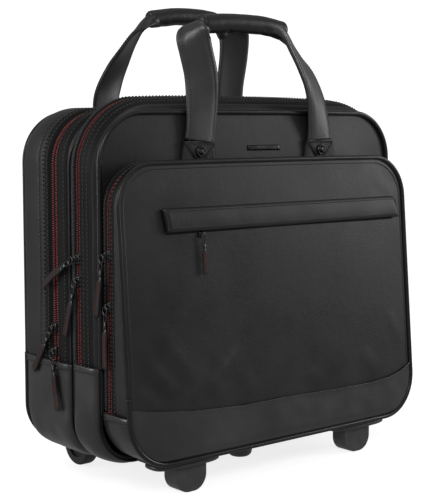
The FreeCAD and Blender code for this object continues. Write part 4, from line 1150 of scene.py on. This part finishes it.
# each side slider: x, y and z of its body, x of its puller, how the puller swings and how its tab bends
SIDE_SLIDERS = [
    ("rear_upper", -212.6, 30.3, 167.0, -217.8, 35, 2.0),
    ("rear_lower", -212.6, 30.3, 142.0, -217.8, -8, -2.5),
    ("middle_upper", -212.9, -14.5, 243.0, -220.2, 62, -2.0),
    ("middle_lower", -212.9, -14.5, 221.0, -217.6, 17, 2.5),
    ("front_upper", -205.6, -58.1, 250.0, -214.0, 9, 1.5),
    ("front_lower", -205.6, -58.1, 198.0, -210.4, 2, -1.0)]
for name, x, y, z, pull_x, swing, bend in SIDE_SLIDERS:
    put(name + "_slider_body", slider_store(), ["hardware"], Matrix.Translation((x, y, z)), name + "_slider",
        [name + "_slider"])
    matrix = Matrix.Translation((pull_x, y, z)) @ Matrix.Rotation(math.radians(swing), 4, "X")
    put(name + "_puller_tab", puller_store(bend), PULLER_MATS, matrix, name + "_puller", [name + "_puller"])

lean = Matrix.Rotation(-math.atan(FACE_SLOPE), 4, "X")
turn = lean @ Matrix.Rotation(math.pi / 2, 4, "Z")
flap_spot = Vector((-107.0, face_y(266.5) - 3.4, 266.5))
put("flap_slider_body", slider_store(), ["hardware"],
    Matrix.Translation(flap_spot) @ turn @ Matrix.Rotation(math.pi / 2, 4, "X") @ Matrix.Scale(0.72, 4),
    "flap_slider", ["flap_slider"])
put("flap_puller_tab", puller_store(1.0), PULLER_MATS,
    Matrix.Translation(flap_spot + Vector((0, -3.6, 0))) @ turn @ Matrix.Scale(0.64, 4), "flap_puller",
    ["flap_puller"])


# ---------------------------------------------------------------- carried-over CAD nodes
CAD_LOOK = {
    "plastic": ["base_board", "wheel_housing_left", "wheel_housing_right", "front_foot_left",
                "front_foot_right", "centre_foot", "trolley_bezel", "trolley_grip"],
    "button": ["trolley_button"],
    "tube": ["trolley_guide_tubes", "trolley_stage_one", "trolley_stage_two"],
    "steel": ["wheel_axles"], "rubber": ["wheel_left", "wheel_right"],
    "lining": ["divider_panel", "laptop_sleeve"],
}
for look, names in CAD_LOOK.items():
    for name in names:
        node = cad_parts[name]
        node.data.materials.clear()
        node.data.materials.append(MATS[look])


# ---------------------------------------------------------------- floor, light and camera
def backdrop():
    """White paper that runs from the floor up behind the case, bright enough to stay white."""
    verts, faces = [], []
    away = Vector((0.65, 0.76, 0))
    side = Vector((-0.76, 0.65, 0))
    profile = [(-2.5, 0.0), (0.9, 0.0), (1.5, 0.0)]
    profile += [(1.5 + 0.8 * math.sin(a), 0.8 - 0.8 * math.cos(a))
                for a in np.linspace(0.1, math.pi / 2, 12)]
    profile += [(2.3, 3.2)]
    for depth, height in profile:
        for across in (-3.5, 3.5):
            verts.append(away * depth + side * across + Vector((0, 0, height)))
    for i in range(len(profile) - 1):
        faces.append((2 * i, 2 * i + 1, 2 * i + 3, 2 * i + 2))
    mesh = bpy.data.meshes.new("backdrop")
    mesh.from_pydata(verts, [], faces)
    mesh.polygons.foreach_set("use_smooth", [True] * len(mesh.polygons))
    obj = bpy.data.objects.new("backdrop", mesh)
    bpy.context.scene.collection.objects.link(obj)
    mat, tree, shader, where = node_material("white paper", (0.7, 0.7, 0.7), 0.7)
    patches = texture(tree, "ShaderNodeTexNoise", where, 3, Detail=2.0)
    tree.links.new(ramp(tree, patches.outputs["Fac"], (0.68, 0.68, 0.68), (0.72, 0.72, 0.72)),
                   shader.inputs["Base Color"])
    shader.inputs["Emission Color"].default_value = (1, 1, 1, 1)
    shader.inputs["Emission Strength"].default_value = 0.8
    mesh.materials.append(mat)
    obj.visible_diffuse = False
    obj.visible_glossy = False


backdrop()


def lamp(name, spot, target, size, power):
    """A rectangular lamp in metres and watts, turned to a target."""
    data = bpy.data.lights.new(name, "AREA")
    data.shape = "RECTANGLE"
    data.size, data.size_y = size
    data.energy = power
    obj = bpy.data.objects.new(name, data)
    bpy.context.scene.collection.objects.link(obj)
    obj.location = spot
    obj.rotation_euler = (Vector(target) - Vector(spot)).to_track_quat("-Z", "Y").to_euler()


lamp("right_key", (2.1, -1.2, 0.9), (0, 0, 0.2), (0.8, 1.1), 14)
lamp("left_key", (-2.0, 1.0, 0.85), (0, 0, 0.2), (0.8, 1.5), 15)
lamp("front_left", (-1.3, -1.9, 1.5), (0, 0, 0.3), (0.6, 0.6), 14)
lamp("top", (0.1, -0.2, 2.2), (0, 0, 0.2), (1.2, 0.9), 3)

world = bpy.data.worlds.new("studio")
world.use_nodes = True
world.node_tree.nodes["Background"].inputs["Color"].default_value = (1, 1, 1, 1)
world.node_tree.nodes["Background"].inputs["Strength"].default_value = 0.26
bpy.context.scene.world = world
bpy.context.scene.view_settings.view_transform = "Standard"
bpy.context.scene.view_settings.look = "None"

camera = bpy.data.cameras.new("camera")
camera.sensor_fit = "HORIZONTAL"
camera.sensor_width = 36.0
camera.lens = 102.75
camera.clip_end = 100
eye = bpy.data.objects.new("camera", camera)
bpy.context.scene.collection.objects.link(eye)
eye.location = (-0.9048, -1.0563, 0.3805)
eye.rotation_euler = (Vector((0, 0.022, 0.2351)) - eye.location).to_track_quat("-Z", "Y").to_euler()
bpy.context.scene.camera = eye
